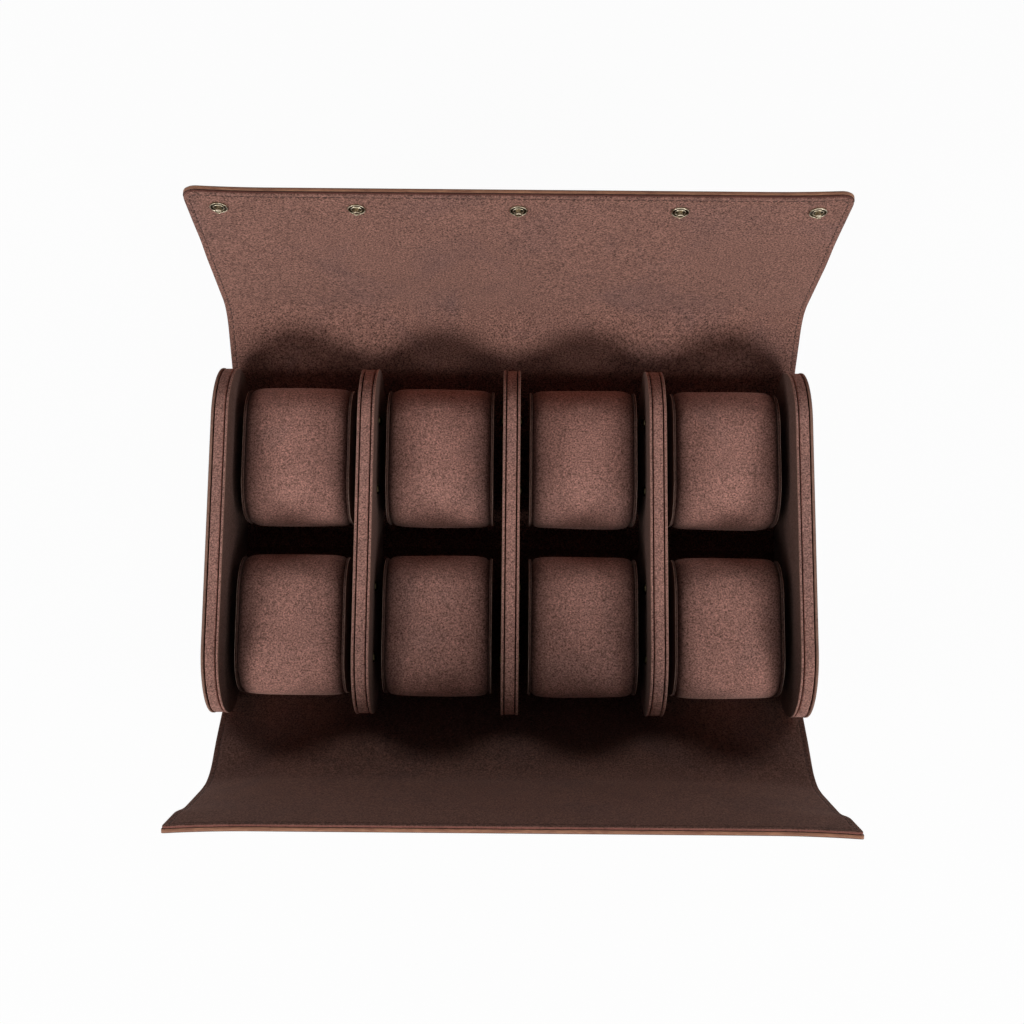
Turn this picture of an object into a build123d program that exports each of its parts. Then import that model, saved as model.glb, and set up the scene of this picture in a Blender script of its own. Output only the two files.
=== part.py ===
from build123d import *
import math
import os

# A watch display case that opens like a roll: a leather wrap lined with suede carries two end
# panels, three dividers and eight removable watch pillows, and closes with five snaps.
# Millimetres. X runs along the case, Y from front to rear, Z up from the surface it rests on.

# Row of compartments
columns = 4
column_pitch = 64.0
panel_thickness = 7.6

# End panels and dividers, seen from the end
panel_depth = 156.0
panel_height = 57.0
panel_corner = 28.0
face_thickness = 1.1
face_edge = 0.3
groove_width = 0.6
band_thickness = 1.0
band_recess = 0.25
band_edge = 0.35

# Wrap
leather_thickness = 1.7
lining_thickness = 1.3
wrap_overhang = 0.2
seat_clearance = 0.1
departure_angle = 40.0
bend_radius = 30.0
rear_lean = 81.0
rear_corner = 6.5
front_lean = 79.0
front_corner = 1.2

# Creases that part each flap into panels that turn: the first two measured along the wrap
# from where it leaves the end panels, the third from the end of the bend
first_crease = 9.5
second_crease = 27.8
third_crease = 9.0
crease_gap = 0.3
crease_bevel = 19.0

# How the shut flaps lie: the turn of the first two creases, the gap left over the panels, the
# reach of each edge past the middle of the case and the slope at which the front one springs up
rear_turns = (32.5, 32.5)
rear_shut_gap = 1.3
rear_reach = 21.9
front_turns = (32.5, 32.5)
front_shut_gap = 1.3
front_reach = 4.3
front_spring = 2.3

# Watch pillows and the room left round them
pillow_side_gap = 4.2
rear_strap_gap = 7.3
row_gap = 12.0
front_strap_gap = 7.3
watch_room = 10.7
pillow_lift = 0.4
pillow_corner = 20.0
pillow_crown = 1.75
pillow_groove = 0.4
cap_thickness = 1.2
cap_edge = 0.3
cover_wall = 1.4

# Rivets through the dividers
rivet_rows = (-53.5, -22.0, 22.0, 53.5)
rivet_height = 38.0
rivet_shank = 0.9
rivet_head = 2.2
rivet_crown = 1.1
rivet_dome = 1.7
rivet_clearance = 0.05

# Snaps
snap_end_margin = 13.5
snap_edge_margin = 10.5
stud_radius = 3.5
stud_flange = 0.35
stud_rim_width = 0.45
stud_rim_height = 0.7
stud_boss_radius = 2.15
stud_boss_height = 0.95
nipple_radius = 1.3
nipple_height = 2.5
nipple_wall = 0.28
nipple_entry = 1.3
button_radius = 4.0
button_edge = 0.45
button_crown = 2.2
button_dome = 1.35
shank_fit = 0.07
shank_clearance = 0.15
shank_grip = 1.0
socket_radius = 3.9
socket_height = 1.9
socket_roll = 0.5
socket_well_clearance = 0.45
socket_floor = 0.3
eyelet_flange_radius = 2.6
eyelet_flange = 0.4
eyelet_tube = 0.9
eyelet_bore = 0.5
eyelet_clearance = 0.05

# Lengths closer than this are the same length
same_length = 0.01

# Worked out from the sizes above
wrap_thickness = leather_thickness + lining_thickness
panel_bottom = wrap_thickness + seat_clearance
panel_top = panel_bottom + panel_height
panel_middle = panel_bottom + panel_height / 2
end_corner = min(panel_corner, panel_height / 2 - 2 * same_length)
outer_panel_x = column_pitch * columns / 2
case_length = 2 * outer_panel_x + panel_thickness
wrap_width = case_length + 2 * wrap_overhang
arc_centre_y = panel_depth / 2 - end_corner
arc_centre_z = panel_bottom + end_corner
wrap_line_radius = end_corner + seat_clearance + lining_thickness
divider_x = [column_pitch * (i - columns / 2) for i in range(1, columns)]
column_x = [column_pitch * (i - (columns - 1) / 2) for i in range(columns)]
snap_x = [snap_end_margin - wrap_width / 2] + divider_x + [wrap_width / 2 - snap_end_margin]
pillow_width = column_pitch - panel_thickness - 2 * pillow_side_gap
pillow_length = (panel_depth - rear_strap_gap - row_gap - front_strap_gap) / 2
pillow_bottom = wrap_thickness + pillow_lift
pillow_height = panel_top - watch_room - pillow_bottom
rear_row_centre = panel_depth / 2 - rear_strap_gap - pillow_length / 2
front_row_centre = front_strap_gap + pillow_length / 2 - panel_depth / 2
socket_well = nipple_radius + socket_well_clearance
button_shank = nipple_radius - nipple_wall - shank_fit
snap_rise = wrap_thickness + socket_height + nipple_height - nipple_entry

os.makedirs("parts", exist_ok=True)


def save(node, solids):
    """Write one sub-part, from one solid or from a list of separate solids."""
    shape = Compound(children=list(solids)) if isinstance(solids, list) else solids
    export_step(shape, f"parts/{node}.step")


def across(face, centre_x, width):
    """Turn an outline drawn in Y and Z into a solid of this width, centred at centre_x."""
    return Pos(centre_x, 0, 0) * extrude(Plane.YZ * face, amount=width / 2, both=True)


def eased(block, edge, sides):
    """Take the sharp rim off a flat piece on its left (-1) side, its right (1) side or both."""
    flats = block.faces().filter_by(Axis.X).sort_by(Axis.X)
    rims = []
    for side in sides:
        rims += flats[0 if side < 0 else -1].edges()
    return chamfer(rims, edge)


def turned(points):
    """A solid of revolution about its own Z axis, from radius and height pairs."""
    profile = make_face(Polyline(*points, close=True))
    return revolve(Plane.XZ * profile, axis=Axis.Z)


def rotated(y, z, centre, degrees):
    """Turn a point about a centre in the plane of Y and Z."""
    angle = math.radians(degrees)
    dy = y - centre[0]
    dz = z - centre[1]
    turned_y = centre[0] + dy * math.cos(angle) - dz * math.sin(angle)
    turned_z = centre[1] + dy * math.sin(angle) + dz * math.cos(angle)
    return turned_y, turned_z


def drawn_back(offset):
    """How far a panel's end stays back from a crease line at this offset from the line."""
    return crease_gap / 2 + abs(offset) * math.tan(math.radians(crease_bevel))


class Flap:
    """One free side of the wrap, as the line between leather and lining drawn from its root.

    It rises straight, bends, and runs on straight to its free edge. The rise is as long as the
    shut flap needs to clear the panels, and the last run as long as it needs for its reach.
    """

    def __init__(self, side, lean, turns, shut_gap, reach, corner):
        self.side = side
        self.corner = corner
        self.bend = math.radians(lean - departure_angle) * bend_radius
        self.straight = second_crease
        self.closing = turns + (0,)
        third_z = self.carried(*self.point(self.creases()[2]), 2)[1]
        missing = panel_top + shut_gap + lining_thickness - third_z
        self.straight += missing / math.sin(math.radians(departure_angle + sum(turns)))
        self.third_y = self.carried(*self.point(self.creases()[2]), 2)[0]
        self.reach = reach
        self.set_slope(0)

    def set_slope(self, degrees):
        """Give the shut last panel its slope, which sets its third turn and its length."""
        self.slope = math.radians(degrees)
        first, second = self.closing[:2]
        lean = math.degrees(self.direction(self.straight + self.bend))
        self.closing = (first, second, 180 - degrees - lean - first - second)
        self.length = self.creases()[2] + (self.third_y + self.reach) / math.cos(self.slope)

    def creases(self):
        """Distances of the three creases along the flap."""
        return first_crease, second_crease, self.straight + self.bend + third_crease

    def direction(self, along):
        """Angle of the flap above the horizontal at this distance along it."""
        bent = min(max(along - self.straight, 0), self.bend) / bend_radius
        return math.radians(departure_angle) + bent

    def point(self, along, offset=0.0):
        """Y and Z at this distance along, an offset towards the lining's side."""
        root = math.radians(departure_angle)
        angle = self.direction(along)
        rise = min(along, self.straight)
        run = max(along - self.straight - self.bend, 0)
        y = arc_centre_y + wrap_line_radius * math.sin(root) + rise * math.cos(root)
        z = arc_centre_z - wrap_line_radius * math.cos(root) + rise * math.sin(root)
        y += bend_radius * (math.sin(angle) - math.sin(root)) + run * math.cos(angle)
        z += bend_radius * (math.cos(root) - math.cos(angle)) + run * math.sin(angle)
        return y - offset * math.sin(angle), z + offset * math.cos(angle)

    def carried(self, y, z, count):
        """Carry a point of a panel to where the shutting of its first creases takes it."""
        for number in reversed(range(count)):
            y, z = rotated(y, z, self.crease_axis(number), self.closing[number])
        return y, z

    def carried_back(self, y, z):
        """Carry a point of the shut case back to where it lies on the open flap."""
        for number in range(3):
            y, z = rotated(y, z, self.crease_axis(number), -self.closing[number])
        return y, z

    def crease_axis(self, number):
        """Y and Z of a crease."""
        return self.point(self.creases()[number])

    def edges(self, start, end, offset):
        """Lines and an arc that follow the flap from start to end at an offset."""
        bend_end = self.straight + self.bend
        stops = [start] + [s for s in (self.straight, bend_end) if start < s < end] + [end]
        drawn = []
        for a, b in zip(stops, stops[1:]):
            ends = (self.point(a, offset), self.point(b, offset))
            middle = (a + b) / 2
            if self.straight < middle < bend_end:
                drawn.append(ThreePointArc(ends[0], self.point(middle, offset), ends[1]))
            else:
                drawn.append(Line(*ends))
        return drawn

    def layer(self, number, inner, outer):
        """One layer of a panel between two offsets, drawn back from the creases at its ends."""
        start = self.creases()[number]
        last = number == 2
        end = self.length if last else self.creases()[number + 1]
        sides = []
        for offset in (inner, outer):
            stop = end if last else end - drawn_back(offset)
            sides.append(self.edges(start + drawn_back(offset), stop, offset))
        near, far = sides
        ends = [Line(near[0] @ 0, far[0] @ 0), Line(near[-1] @ 1, far[-1] @ 1)]
        strip = across(make_face(near + far + ends), 0, wrap_width)
        if last:
            strip = self.tip_rounded(strip, abs(outer - inner))
        return strip if self.side > 0 else mirror(strip, Plane.XZ)

    def tip_rounded(self, strip, thickness):
        """Round the two free corners of the last panel."""
        tip_y, tip_z = self.point(self.length)
        corners = []
        for edge in strip.edges():
            middle = edge.center()
            from_tip = math.hypot(middle.Y - tip_y, middle.Z - tip_z)
            if abs(edge.length - thickness) < same_length and from_tip < thickness:
                corners.append(edge)
        return fillet(corners, self.corner)

    def standing(self, shape, x, along, offset, outward):
        """Stand a turned piece on the flap, its axis square to it, outward or inward."""
        y, z = self.point(along, offset)
        angle = self.direction(along)
        facing = 1 if outward else -1
        normal = (0, facing * math.sin(angle) * self.side, -facing * math.cos(angle))
        return Plane(origin=(x, y * self.side, z), x_dir=(1, 0, 0), z_dir=normal) * shape


rear = Flap(1, rear_lean, rear_turns, rear_shut_gap, rear_reach, rear_corner)
front = Flap(-1, front_lean, front_turns, front_shut_gap, front_reach, front_corner)
front.set_slope(front_spring)
snap_row = rear_reach - snap_edge_margin
front_rise = (front.third_y - snap_row) * math.tan(front.slope)
rear_rise = snap_rise + front_shut_gap + front_rise - rear_shut_gap
rear.set_slope(math.degrees(math.atan2(rear_rise, rear.third_y + snap_row)))

# Base of the wrap, from the rear flap's first crease under the case to the front flap's


def base_edges(offset):
    """Lines and arcs along the base at an offset towards the lining's side, and its end."""
    end = rear.point(first_crease - drawn_back(offset), offset)
    root = rear.point(0, offset)
    radius = wrap_line_radius - offset
    half = math.radians(departure_angle / 2)
    middle = (arc_centre_y + radius * math.sin(half), arc_centre_z - radius * math.cos(half))
    bottom = (arc_centre_y, arc_centre_z - radius)
    drawn = [Line(bottom, (-bottom[0], bottom[1]))]
    for side in (1, -1):
        stops = [(side * y, z) for y, z in (end, root, middle, bottom)]
        drawn += [Line(stops[0], stops[1]), ThreePointArc(stops[1], stops[2], stops[3])]
    return drawn, end


def base_layer(inner, outer):
    """One layer of the base."""
    near, near_end = base_edges(inner)
    far, far_end = base_edges(outer)
    ends = []
    for side in (1, -1):
        ends.append(Line((side * near_end[0], near_end[1]), (side * far_end[0], far_end[1])))
    return across(make_face(near + far + ends), 0, wrap_width)


save("wrap_base_leather", base_layer(0, -leather_thickness))
save("wrap_base_lining", base_layer(lining_thickness, 0))

# End panels and dividers


def panel_outline(inset):
    """Outline of an end panel or divider, drawn in by an inset."""
    width = panel_depth - 2 * inset
    height = panel_height - 2 * inset
    return Pos(0, panel_middle) * RectangleRounded(width, height, end_corner - inset)


def core(x):
    """Board in the middle of a panel."""
    outline = panel_outline(band_recess + band_thickness)
    return across(outline, x, panel_thickness - 2 * face_thickness)


def band(x):
    """Suede strip round the board's edge, with a groove left on each side of it."""
    width = panel_thickness - 2 * (face_thickness + groove_width)
    block = eased(across(panel_outline(band_recess), x, width), band_edge, (-1, 1))
    return block - across(panel_outline(band_recess + band_thickness), x, panel_thickness)


def face_plate(x, side):
    """Covered face of a panel, on its left (-1) or right (1) side."""
    centre = x + side * (panel_thickness - face_thickness) / 2
    return eased(across(panel_outline(0), centre, face_thickness), face_edge, (side,))


def rivet_holes(x):
    """Clearance holes for the rivets of one divider."""
    hole = Cylinder(rivet_shank + rivet_clearance, 2 * panel_thickness, rotation=(0, 90, 0))
    return [Pos(x, y, rivet_height) * hole for y in rivet_rows]


def rivet(x, y):
    """A rivet with a low dome on each side of the divider."""
    seat = panel_thickness / 2
    half = [
        (rivet_shank, seat),
        (rivet_head, seat),
        (rivet_crown, seat + rivet_dome),
        (0, seat + rivet_dome),
    ]
    other_half = [(radius, -height) for radius, height in reversed(half)]
    return Pos(x, y, rivet_height) * Rot(0, 90, 0) * turned(half + other_half)


for name, side in (("left_end", -1), ("right_end", 1)):
    x = side * outer_panel_x
    save(f"{name}_core", core(x))
    save(f"{name}_band", band(x))
    save(f"{name}_outer_face", face_plate(x, side))
    save(f"{name}_inner_face", face_plate(x, -side))

rivets = []
for name, x in zip(("left_divider", "centre_divider", "right_divider"), divider_x):
    holes = rivet_holes(x)
    save(f"{name}_core", core(x) - holes)
    save(f"{name}_band", band(x))
    save(f"{name}_faces", [face_plate(x, side) - holes for side in (-1, 1)])
    rivets += [rivet(x, y) for y in rivet_rows]
save("divider_rivets", rivets)

# Snaps: a stud inside the rear flap held by a button outside it, and a socket outside the
# front flap held by an eyelet under the lining


def stud():
    """Stud with a rim, a boss and a hollow nipple that clips into the socket."""
    bore = nipple_radius - nipple_wall
    return turned([
        (bore, 0),
        (stud_radius, 0),
        (stud_radius, stud_rim_height),
        (stud_radius - stud_rim_width, stud_rim_height),
        (stud_radius - stud_rim_width, stud_flange),
        (stud_boss_radius, stud_flange),
        (stud_boss_radius, stud_boss_height),
        (nipple_radius, stud_boss_height),
        (nipple_radius, nipple_height),
        (bore, nipple_height),
    ])


def button():
    """Domed button with a shank that reaches through the flap into the stud."""
    return turned([
        (0, -wrap_thickness - shank_grip),
        (button_shank, -wrap_thickness - shank_grip),
        (button_shank, 0),
        (button_radius, 0),
        (button_radius, button_edge),
        (button_crown, button_dome),
        (0, button_dome),
    ])


def socket():
    """Ring socket with a rolled lip and a well for the stud's nipple."""
    return turned([
        (eyelet_tube, 0),
        (socket_radius, 0),
        (socket_radius, socket_height - socket_roll),
        (socket_radius - socket_roll, socket_height),
        (socket_well + socket_roll, socket_height),
        (socket_well, socket_height - socket_roll),
        (socket_well, socket_floor),
        (eyelet_tube, socket_floor),
    ])


def eyelet():
    """Eyelet whose flange lies under the lining and whose tube holds the socket."""
    reach = leather_thickness + socket_floor
    return turned([
        (eyelet_bore, 0),
        (eyelet_flange_radius, 0),
        (eyelet_flange_radius, eyelet_flange),
        (eyelet_tube, eyelet_flange),
        (eyelet_tube, reach),
        (eyelet_bore, reach),
    ])


stud_along = rear.length - snap_edge_margin
shut_y, shut_z = rear.carried(*rear.point(stud_along, lining_thickness + nipple_height), 3)
open_y, open_z = front.carried_back(-shut_y, shut_z)
tip_y, tip_z = front.point(front.length)
lean = front.direction(front.length)
from_tip = (tip_y - open_y) * math.cos(lean) + (tip_z - open_z) * math.sin(lean)
socket_along = front.length - from_tip

studs = []
buttons = []
sockets = []
eyelets = []
shank_holes = []
eyelet_seats = []
through = 4 * wrap_thickness
for x in snap_x:
    studs.append(rear.standing(stud(), x, stud_along, lining_thickness, False))
    buttons.append(rear.standing(button(), x, stud_along, -leather_thickness, True))
    sockets.append(front.standing(socket(), x, socket_along, -leather_thickness, True))
    eyelets.append(front.standing(eyelet(), x, socket_along, 0, True))
    shank_hole = Cylinder(button_shank + shank_clearance, through)
    shank_holes.append(rear.standing(shank_hole, x, stud_along, 0, True))
    tube_hole = Cylinder(eyelet_tube + eyelet_clearance, through)
    flange_seat = Cylinder(eyelet_flange_radius + eyelet_clearance, 2 * eyelet_flange)
    eyelet_seats.append(front.standing(tube_hole + flange_seat, x, socket_along, 0, True))
save("snap_studs", studs)
save("snap_caps", buttons)
save("snap_sockets", sockets)
save("snap_eyelets", eyelets)

# Flaps, each in three panels that turn at the creases

for name, flap in (("rear_flap", rear), ("front_flap", front)):
    for number, part in enumerate(("lower", "middle", "upper")):
        leather = flap.layer(number, 0, -leather_thickness)
        lining = flap.layer(number, lining_thickness, 0)
        if part == "upper" and flap is rear:
            leather -= shank_holes
            lining -= shank_holes
        elif part == "upper":
            leather -= eyelet_seats
        save(f"{name}_{part}_leather", leather)
        save(f"{name}_{part}_lining", lining)

# Watch pillows: a foam block between two end caps, in a crowned suede cover


def pillow_outline(inset):
    """Outline of a pillow seen from its end, drawn in from its fullest section by an inset."""
    length = pillow_length - 2 * inset
    height = pillow_height - 2 * inset
    corner = min(pillow_corner - inset, height / 2 - same_length)
    return RectangleRounded(length, height, corner)


cover_half = pillow_width / 2 - cap_thickness
foam = across(pillow_outline(pillow_crown + pillow_groove + cover_wall), 0, 2 * cover_half)

# Share of the way from the middle of the cover to its end, and share of the crown left there
crown_profile = ((0.62, 0.88), (0.9, 0.45))
insets = [(0, 0)] + [(share, pillow_crown * (1 - crown)) for share, crown in crown_profile]
insets.append((1, pillow_crown + pillow_groove))
sections = []
for share, inset in insets[:0:-1]:
    sections.append(Plane.YZ.offset(-share * cover_half) * pillow_outline(inset))
for share, inset in insets:
    sections.append(Plane.YZ.offset(share * cover_half) * pillow_outline(inset))
cover = loft(sections) - foam
cap_blank = across(pillow_outline(pillow_crown), 0, cap_thickness)
cap_centre = (pillow_width - cap_thickness) / 2
end_caps = [Pos(side * cap_centre, 0, 0) * eased(cap_blank, cap_edge, (side,)) for side in (-1, 1)]
pillow_z = pillow_bottom + pillow_height / 2

for row, row_y in (("rear", rear_row_centre), ("front", front_row_centre)):
    for number, x in enumerate(column_x, start=1):
        place = Pos(x, row_y, pillow_z)
        save(f"pillow_{row}_{number}_foam", place * foam)
        save(f"pillow_{row}_{number}_cover", place * cover)
        save(f"pillow_{row}_{number}_caps", [place * end_cap for end_cap in end_caps])
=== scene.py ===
"""Watch display case in leather and suede: its visible pieces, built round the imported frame."""
import logging
import math
import random
from dataclasses import dataclass, field
from enum import Enum
from typing import Callable, Sequence

import bpy
import numpy as np
from mathutils import Matrix, Vector


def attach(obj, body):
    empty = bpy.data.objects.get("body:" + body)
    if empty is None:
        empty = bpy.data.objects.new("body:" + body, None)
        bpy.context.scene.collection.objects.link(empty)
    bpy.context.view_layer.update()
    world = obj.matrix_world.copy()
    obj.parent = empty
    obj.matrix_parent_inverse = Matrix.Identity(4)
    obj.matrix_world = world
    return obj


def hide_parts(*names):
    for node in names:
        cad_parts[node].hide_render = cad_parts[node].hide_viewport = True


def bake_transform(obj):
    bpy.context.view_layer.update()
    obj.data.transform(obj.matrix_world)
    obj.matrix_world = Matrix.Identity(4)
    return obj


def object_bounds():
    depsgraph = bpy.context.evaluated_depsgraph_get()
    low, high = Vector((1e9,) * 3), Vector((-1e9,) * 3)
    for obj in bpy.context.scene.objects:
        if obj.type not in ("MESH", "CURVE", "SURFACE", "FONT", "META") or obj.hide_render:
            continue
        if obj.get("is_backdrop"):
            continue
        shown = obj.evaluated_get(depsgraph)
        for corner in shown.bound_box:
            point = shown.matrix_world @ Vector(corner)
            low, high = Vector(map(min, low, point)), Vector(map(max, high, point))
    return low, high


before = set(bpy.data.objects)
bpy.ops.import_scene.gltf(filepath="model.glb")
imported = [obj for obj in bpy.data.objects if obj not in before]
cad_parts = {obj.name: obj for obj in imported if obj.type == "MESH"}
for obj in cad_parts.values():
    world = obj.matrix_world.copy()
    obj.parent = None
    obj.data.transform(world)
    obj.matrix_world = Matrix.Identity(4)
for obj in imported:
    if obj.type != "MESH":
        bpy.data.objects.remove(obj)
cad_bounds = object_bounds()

log = logging.getLogger("watch_case")

Colour = tuple[float, float, float]
Test = Callable[[Vector, Vector], bool]
Piece = bpy.types.Object
Finish = bpy.types.Material
Socket = bpy.types.NodeSocket

MM = 0.001
SAME_PLACE = 1e-6
HALF_WIDTH = 132 * MM
LINING_THICKNESS = 1.3 * MM
LEATHER_THICKNESS = 1.7 * MM


class Named(Enum):
    """A choice whose options are also words in the frame's names."""

    @property
    def word(self) -> str:
        """The option as the frame spells it."""
        return self.name.lower()


class Side(Named):
    """A side of the wrap, by the direction in which it lies from the middle of the case."""

    REAR = 1
    FRONT = -1


class Layer(Named):
    """A layer of the wrap, by the direction in which its shown face looks."""

    LINING = 1
    LEATHER = -1


class Pattern(Enum):
    """What a finish's pattern is laid on: the piece in place, or the sheet as it was cut."""

    IN_PLACE = "in_place"
    AS_CUT = "as_cut"


class Element(Enum):
    """What is picked in edit mode."""

    FACE = "FACE"
    EDGE = "EDGE"


# Finishes


def linear(colour: Sequence[float]) -> tuple[float, float, float, float]:
    """Turn a colour written as 0 to 255 on screen into the values a shader takes.

    Args:
        colour: Red, green and blue as seen on screen.

    Returns:
        The same colour in linear light, with full alpha.
    """
    parts = [c / 255 for c in colour]
    out = [c / 12.92 if c <= 0.04045 else ((c + 0.055) / 1.055) ** 2.4 for c in parts]
    return (*out, 1.0)


class Nodes:
    """A node tree in the making."""

    def __init__(self, tree: bpy.types.NodeTree) -> None:
        """Take the tree that nodes are added to."""
        self.tree = tree

    def feed(self, socket: Socket, value: object) -> None:
        """Lead a node's output into a socket, or set the socket to a value.

        Args:
            socket: The socket.
            value: The output or the value.
        """
        if isinstance(value, bpy.types.NodeSocket):
            self.tree.links.new(value, socket)
        else:
            socket.default_value = value

    def add(self, kind: str, sockets: dict | None = None, **settings: object) -> bpy.types.Node:
        """Add a node.

        Args:
            kind: Its type.
            sockets: What its sockets take, each a node's output or a value.
            settings: Its settings.

        Returns:
            The node.
        """
        node = self.tree.nodes.new(kind)
        for key, value in settings.items():
            setattr(node, key, value)
        for key, value in (sockets or {}).items():
            self.feed(node.inputs[key], value)
        return node

    def seen(self) -> Socket:
        """1 where the camera or something glossy looks, 0 where light is gathered."""
        path = self.add("ShaderNodeLightPath").outputs
        either = {0: path["Is Camera Ray"], 1: path["Is Glossy Ray"]}
        return self.add("ShaderNodeMath", either, operation="MAXIMUM").outputs[0]


class Shader(Nodes):
    """A material in the making, and the patterns that the finishes are mixed from."""

    def __init__(self, name: str, pattern: Pattern = Pattern.IN_PLACE) -> None:
        """Start a material.

        Args:
            name: The material's name.
            pattern: What its pattern is laid on.
        """
        self.material = bpy.data.materials.new(name)
        self.material.use_nodes = True
        super().__init__(self.material.node_tree)
        if pattern is Pattern.AS_CUT:
            source = self.add("ShaderNodeAttribute", attribute_name=pattern.value)
            self.place = source.outputs["Vector"]
        else:
            self.place = self.add("ShaderNodeTexCoord").outputs["Object"]

    def surface(self, **sockets: object) -> Finish:
        """Finish the material.

        Args:
            sockets: What the surface's sockets take, spaces in their names written as _.

        Returns:
            The material.
        """
        shading = self.tree.nodes["Principled BSDF"]
        for key, value in sockets.items():
            self.feed(shading.inputs[key.replace("_", " ")], value)
        return self.material

    def grain(self, scale: float, detail: float = 2.0, rough: float = 0.5,
              twist: float = 0.0, stretch: Sequence[float] = (1, 1, 1),
              shift: float = 0.0) -> Socket:
        """Soft random variation.

        Args:
            scale: How many features to the metre.
            detail: How many finer levels lie on it.
            rough: How strong those are.
            twist: How far the pattern is pulled about.
            stretch: Factors on the three directions of the pattern.
            shift: Moves the pattern, so that two uses differ.

        Returns:
            The value, about 0.3 to 0.7.
        """
        placed = self.add("ShaderNodeMapping", {"Vector": self.place, "Scale": stretch,
                                                "Location": (shift, shift * 0.7, -shift)})
        noise = {"Vector": placed.outputs["Vector"], "Scale": scale, "Detail": detail,
                 "Roughness": rough, "Distortion": twist}
        return self.add("ShaderNodeTexNoise", noise).outputs["Fac"]

    def pebbles(self, scale: float) -> Socket:
        """Distance to the borders of random cells, so many to the metre."""
        cells = {"Vector": self.place, "Scale": scale}
        return self.add("ShaderNodeTexVoronoi", cells,
                        feature="DISTANCE_TO_EDGE").outputs["Distance"]

    def carried(self, name: str) -> Socket:
        """A value that the mesh carries at its points."""
        return self.add("ShaderNodeAttribute", attribute_name=name).outputs["Fac"]

    def spread(self, value: Socket, low: float, high: float, to_low: float = 0.0,
               to_high: float = 1.0) -> Socket:
        """Stretch a value from one range to another, held at the ends.

        Args:
            value: The value.
            low: Start of its range.
            high: End of its range.
            to_low: What the start becomes.
            to_high: What the end becomes.

        Returns:
            The stretched value.
        """
        ranges = {"Value": value, "From Min": low, "From Max": high, "To Min": to_low,
                  "To Max": to_high}
        return self.add("ShaderNodeMapRange", ranges).outputs["Result"]

    def between(self, factor: Socket, first: Colour, second: Colour) -> Socket:
        """Mix two colours.

        Args:
            factor: 0 for the first, 1 for the second.
            first: A colour as seen on screen.
            second: Another.

        Returns:
            The mixed colour.
        """
        node = self.add("ShaderNodeMix", {"Factor": factor}, data_type="RGBA")
        ends = [socket for socket in node.inputs if socket.type == "RGBA"]
        for socket, colour in zip(ends, (first, second)):
            socket.default_value = linear(colour)
        return [socket for socket in node.outputs if socket.type == "RGBA"][0]

    def scaled(self, colour: Socket, *factors: Socket) -> Socket:
        """Make a colour lighter or darker.

        Args:
            colour: The colour.
            factors: What it is multiplied by, one after another.

        Returns:
            The new colour.
        """
        for factor in factors:
            colour = self.add("ShaderNodeVectorMath", {0: colour, "Scale": factor},
                              operation="SCALE").outputs["Vector"]
        return colour

    def relief(self, height: Socket, depth: float, strength: float,
               over: Socket | None = None) -> Socket:
        """Raise and sink the surface's shading.

        Args:
            height: The value that is the height.
            depth: How deep it is, in metres.
            strength: How much of it shows.
            over: A relief that this one lies on.

        Returns:
            The normal.
        """
        node = self.add("ShaderNodeBump", {"Height": height, "Distance": depth,
                                           "Strength": strength})
        if over is not None:
            self.feed(node.inputs["Normal"], over)
        return node.outputs["Normal"]


@dataclass(frozen=True)
class Suede:
    """Brushed suede: a speckled nap with faint strokes, smudges and a few dark flecks, and, where
    asked, shade painted darker towards a pillow's seams.
    """

    name: str
    pattern: Pattern
    warm: Colour = (136, 98, 87)
    cool: Colour = (117, 87, 82)
    speckle: float = 0.85
    strokes: float = 0.07
    shift: float = 0.0
    painted_seam_shade: float = 0.0

    def material(self) -> Finish:
        """Build the material."""
        make = Shader(self.name, self.pattern)
        smudge = make.spread(make.grain(24, 4, 0.6, 0.9, shift=self.shift), 0.5, 0.84)
        stroke = make.grain(60, 4, 0.6, 1.2, (1, 0.75, 1), self.shift + 0.31)
        nap = make.grain(1350, 3, 0.75)
        clump = make.grain(420, 2, 0.5, shift=0.17)
        fleck = make.grain(640, 1, 0.5, shift=0.53)
        colour = make.scaled(
            make.between(smudge, self.warm, self.cool),
            make.spread(stroke, 0.3, 0.7, 1 - self.strokes, 1 + self.strokes),
            make.spread(clump, 0.3, 0.7, 0.92, 1.08),
            make.spread(nap, 0.3, 0.7, 1 - self.speckle, 1 + self.speckle),
            make.spread(fleck, 0.66, 0.76, 1.0, 0.66))
        # Painted shade: the colour darkens towards a pillow's seams, standing in for the shade at
        # its ends.
        if self.painted_seam_shade:
            near = make.carried("painted_shade_mask")
            colour = make.scaled(colour, make.spread(near, 0, 1, 1, 1 - self.painted_seam_shade))
        relief = make.relief(make.grain(1700, 3, 0.7), 0.00028, 0.5)
        relief = make.relief(make.grain(300, 2, 0.5), 0.0005, 0.16, relief)
        return make.surface(Base_Color=colour, Normal=relief, Roughness=0.96,
                            Specular_IOR_Level=0.1, Sheen_Weight=0.2, Sheen_Roughness=0.55,
                            Sheen_Tint=linear((226, 190, 176)))


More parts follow.
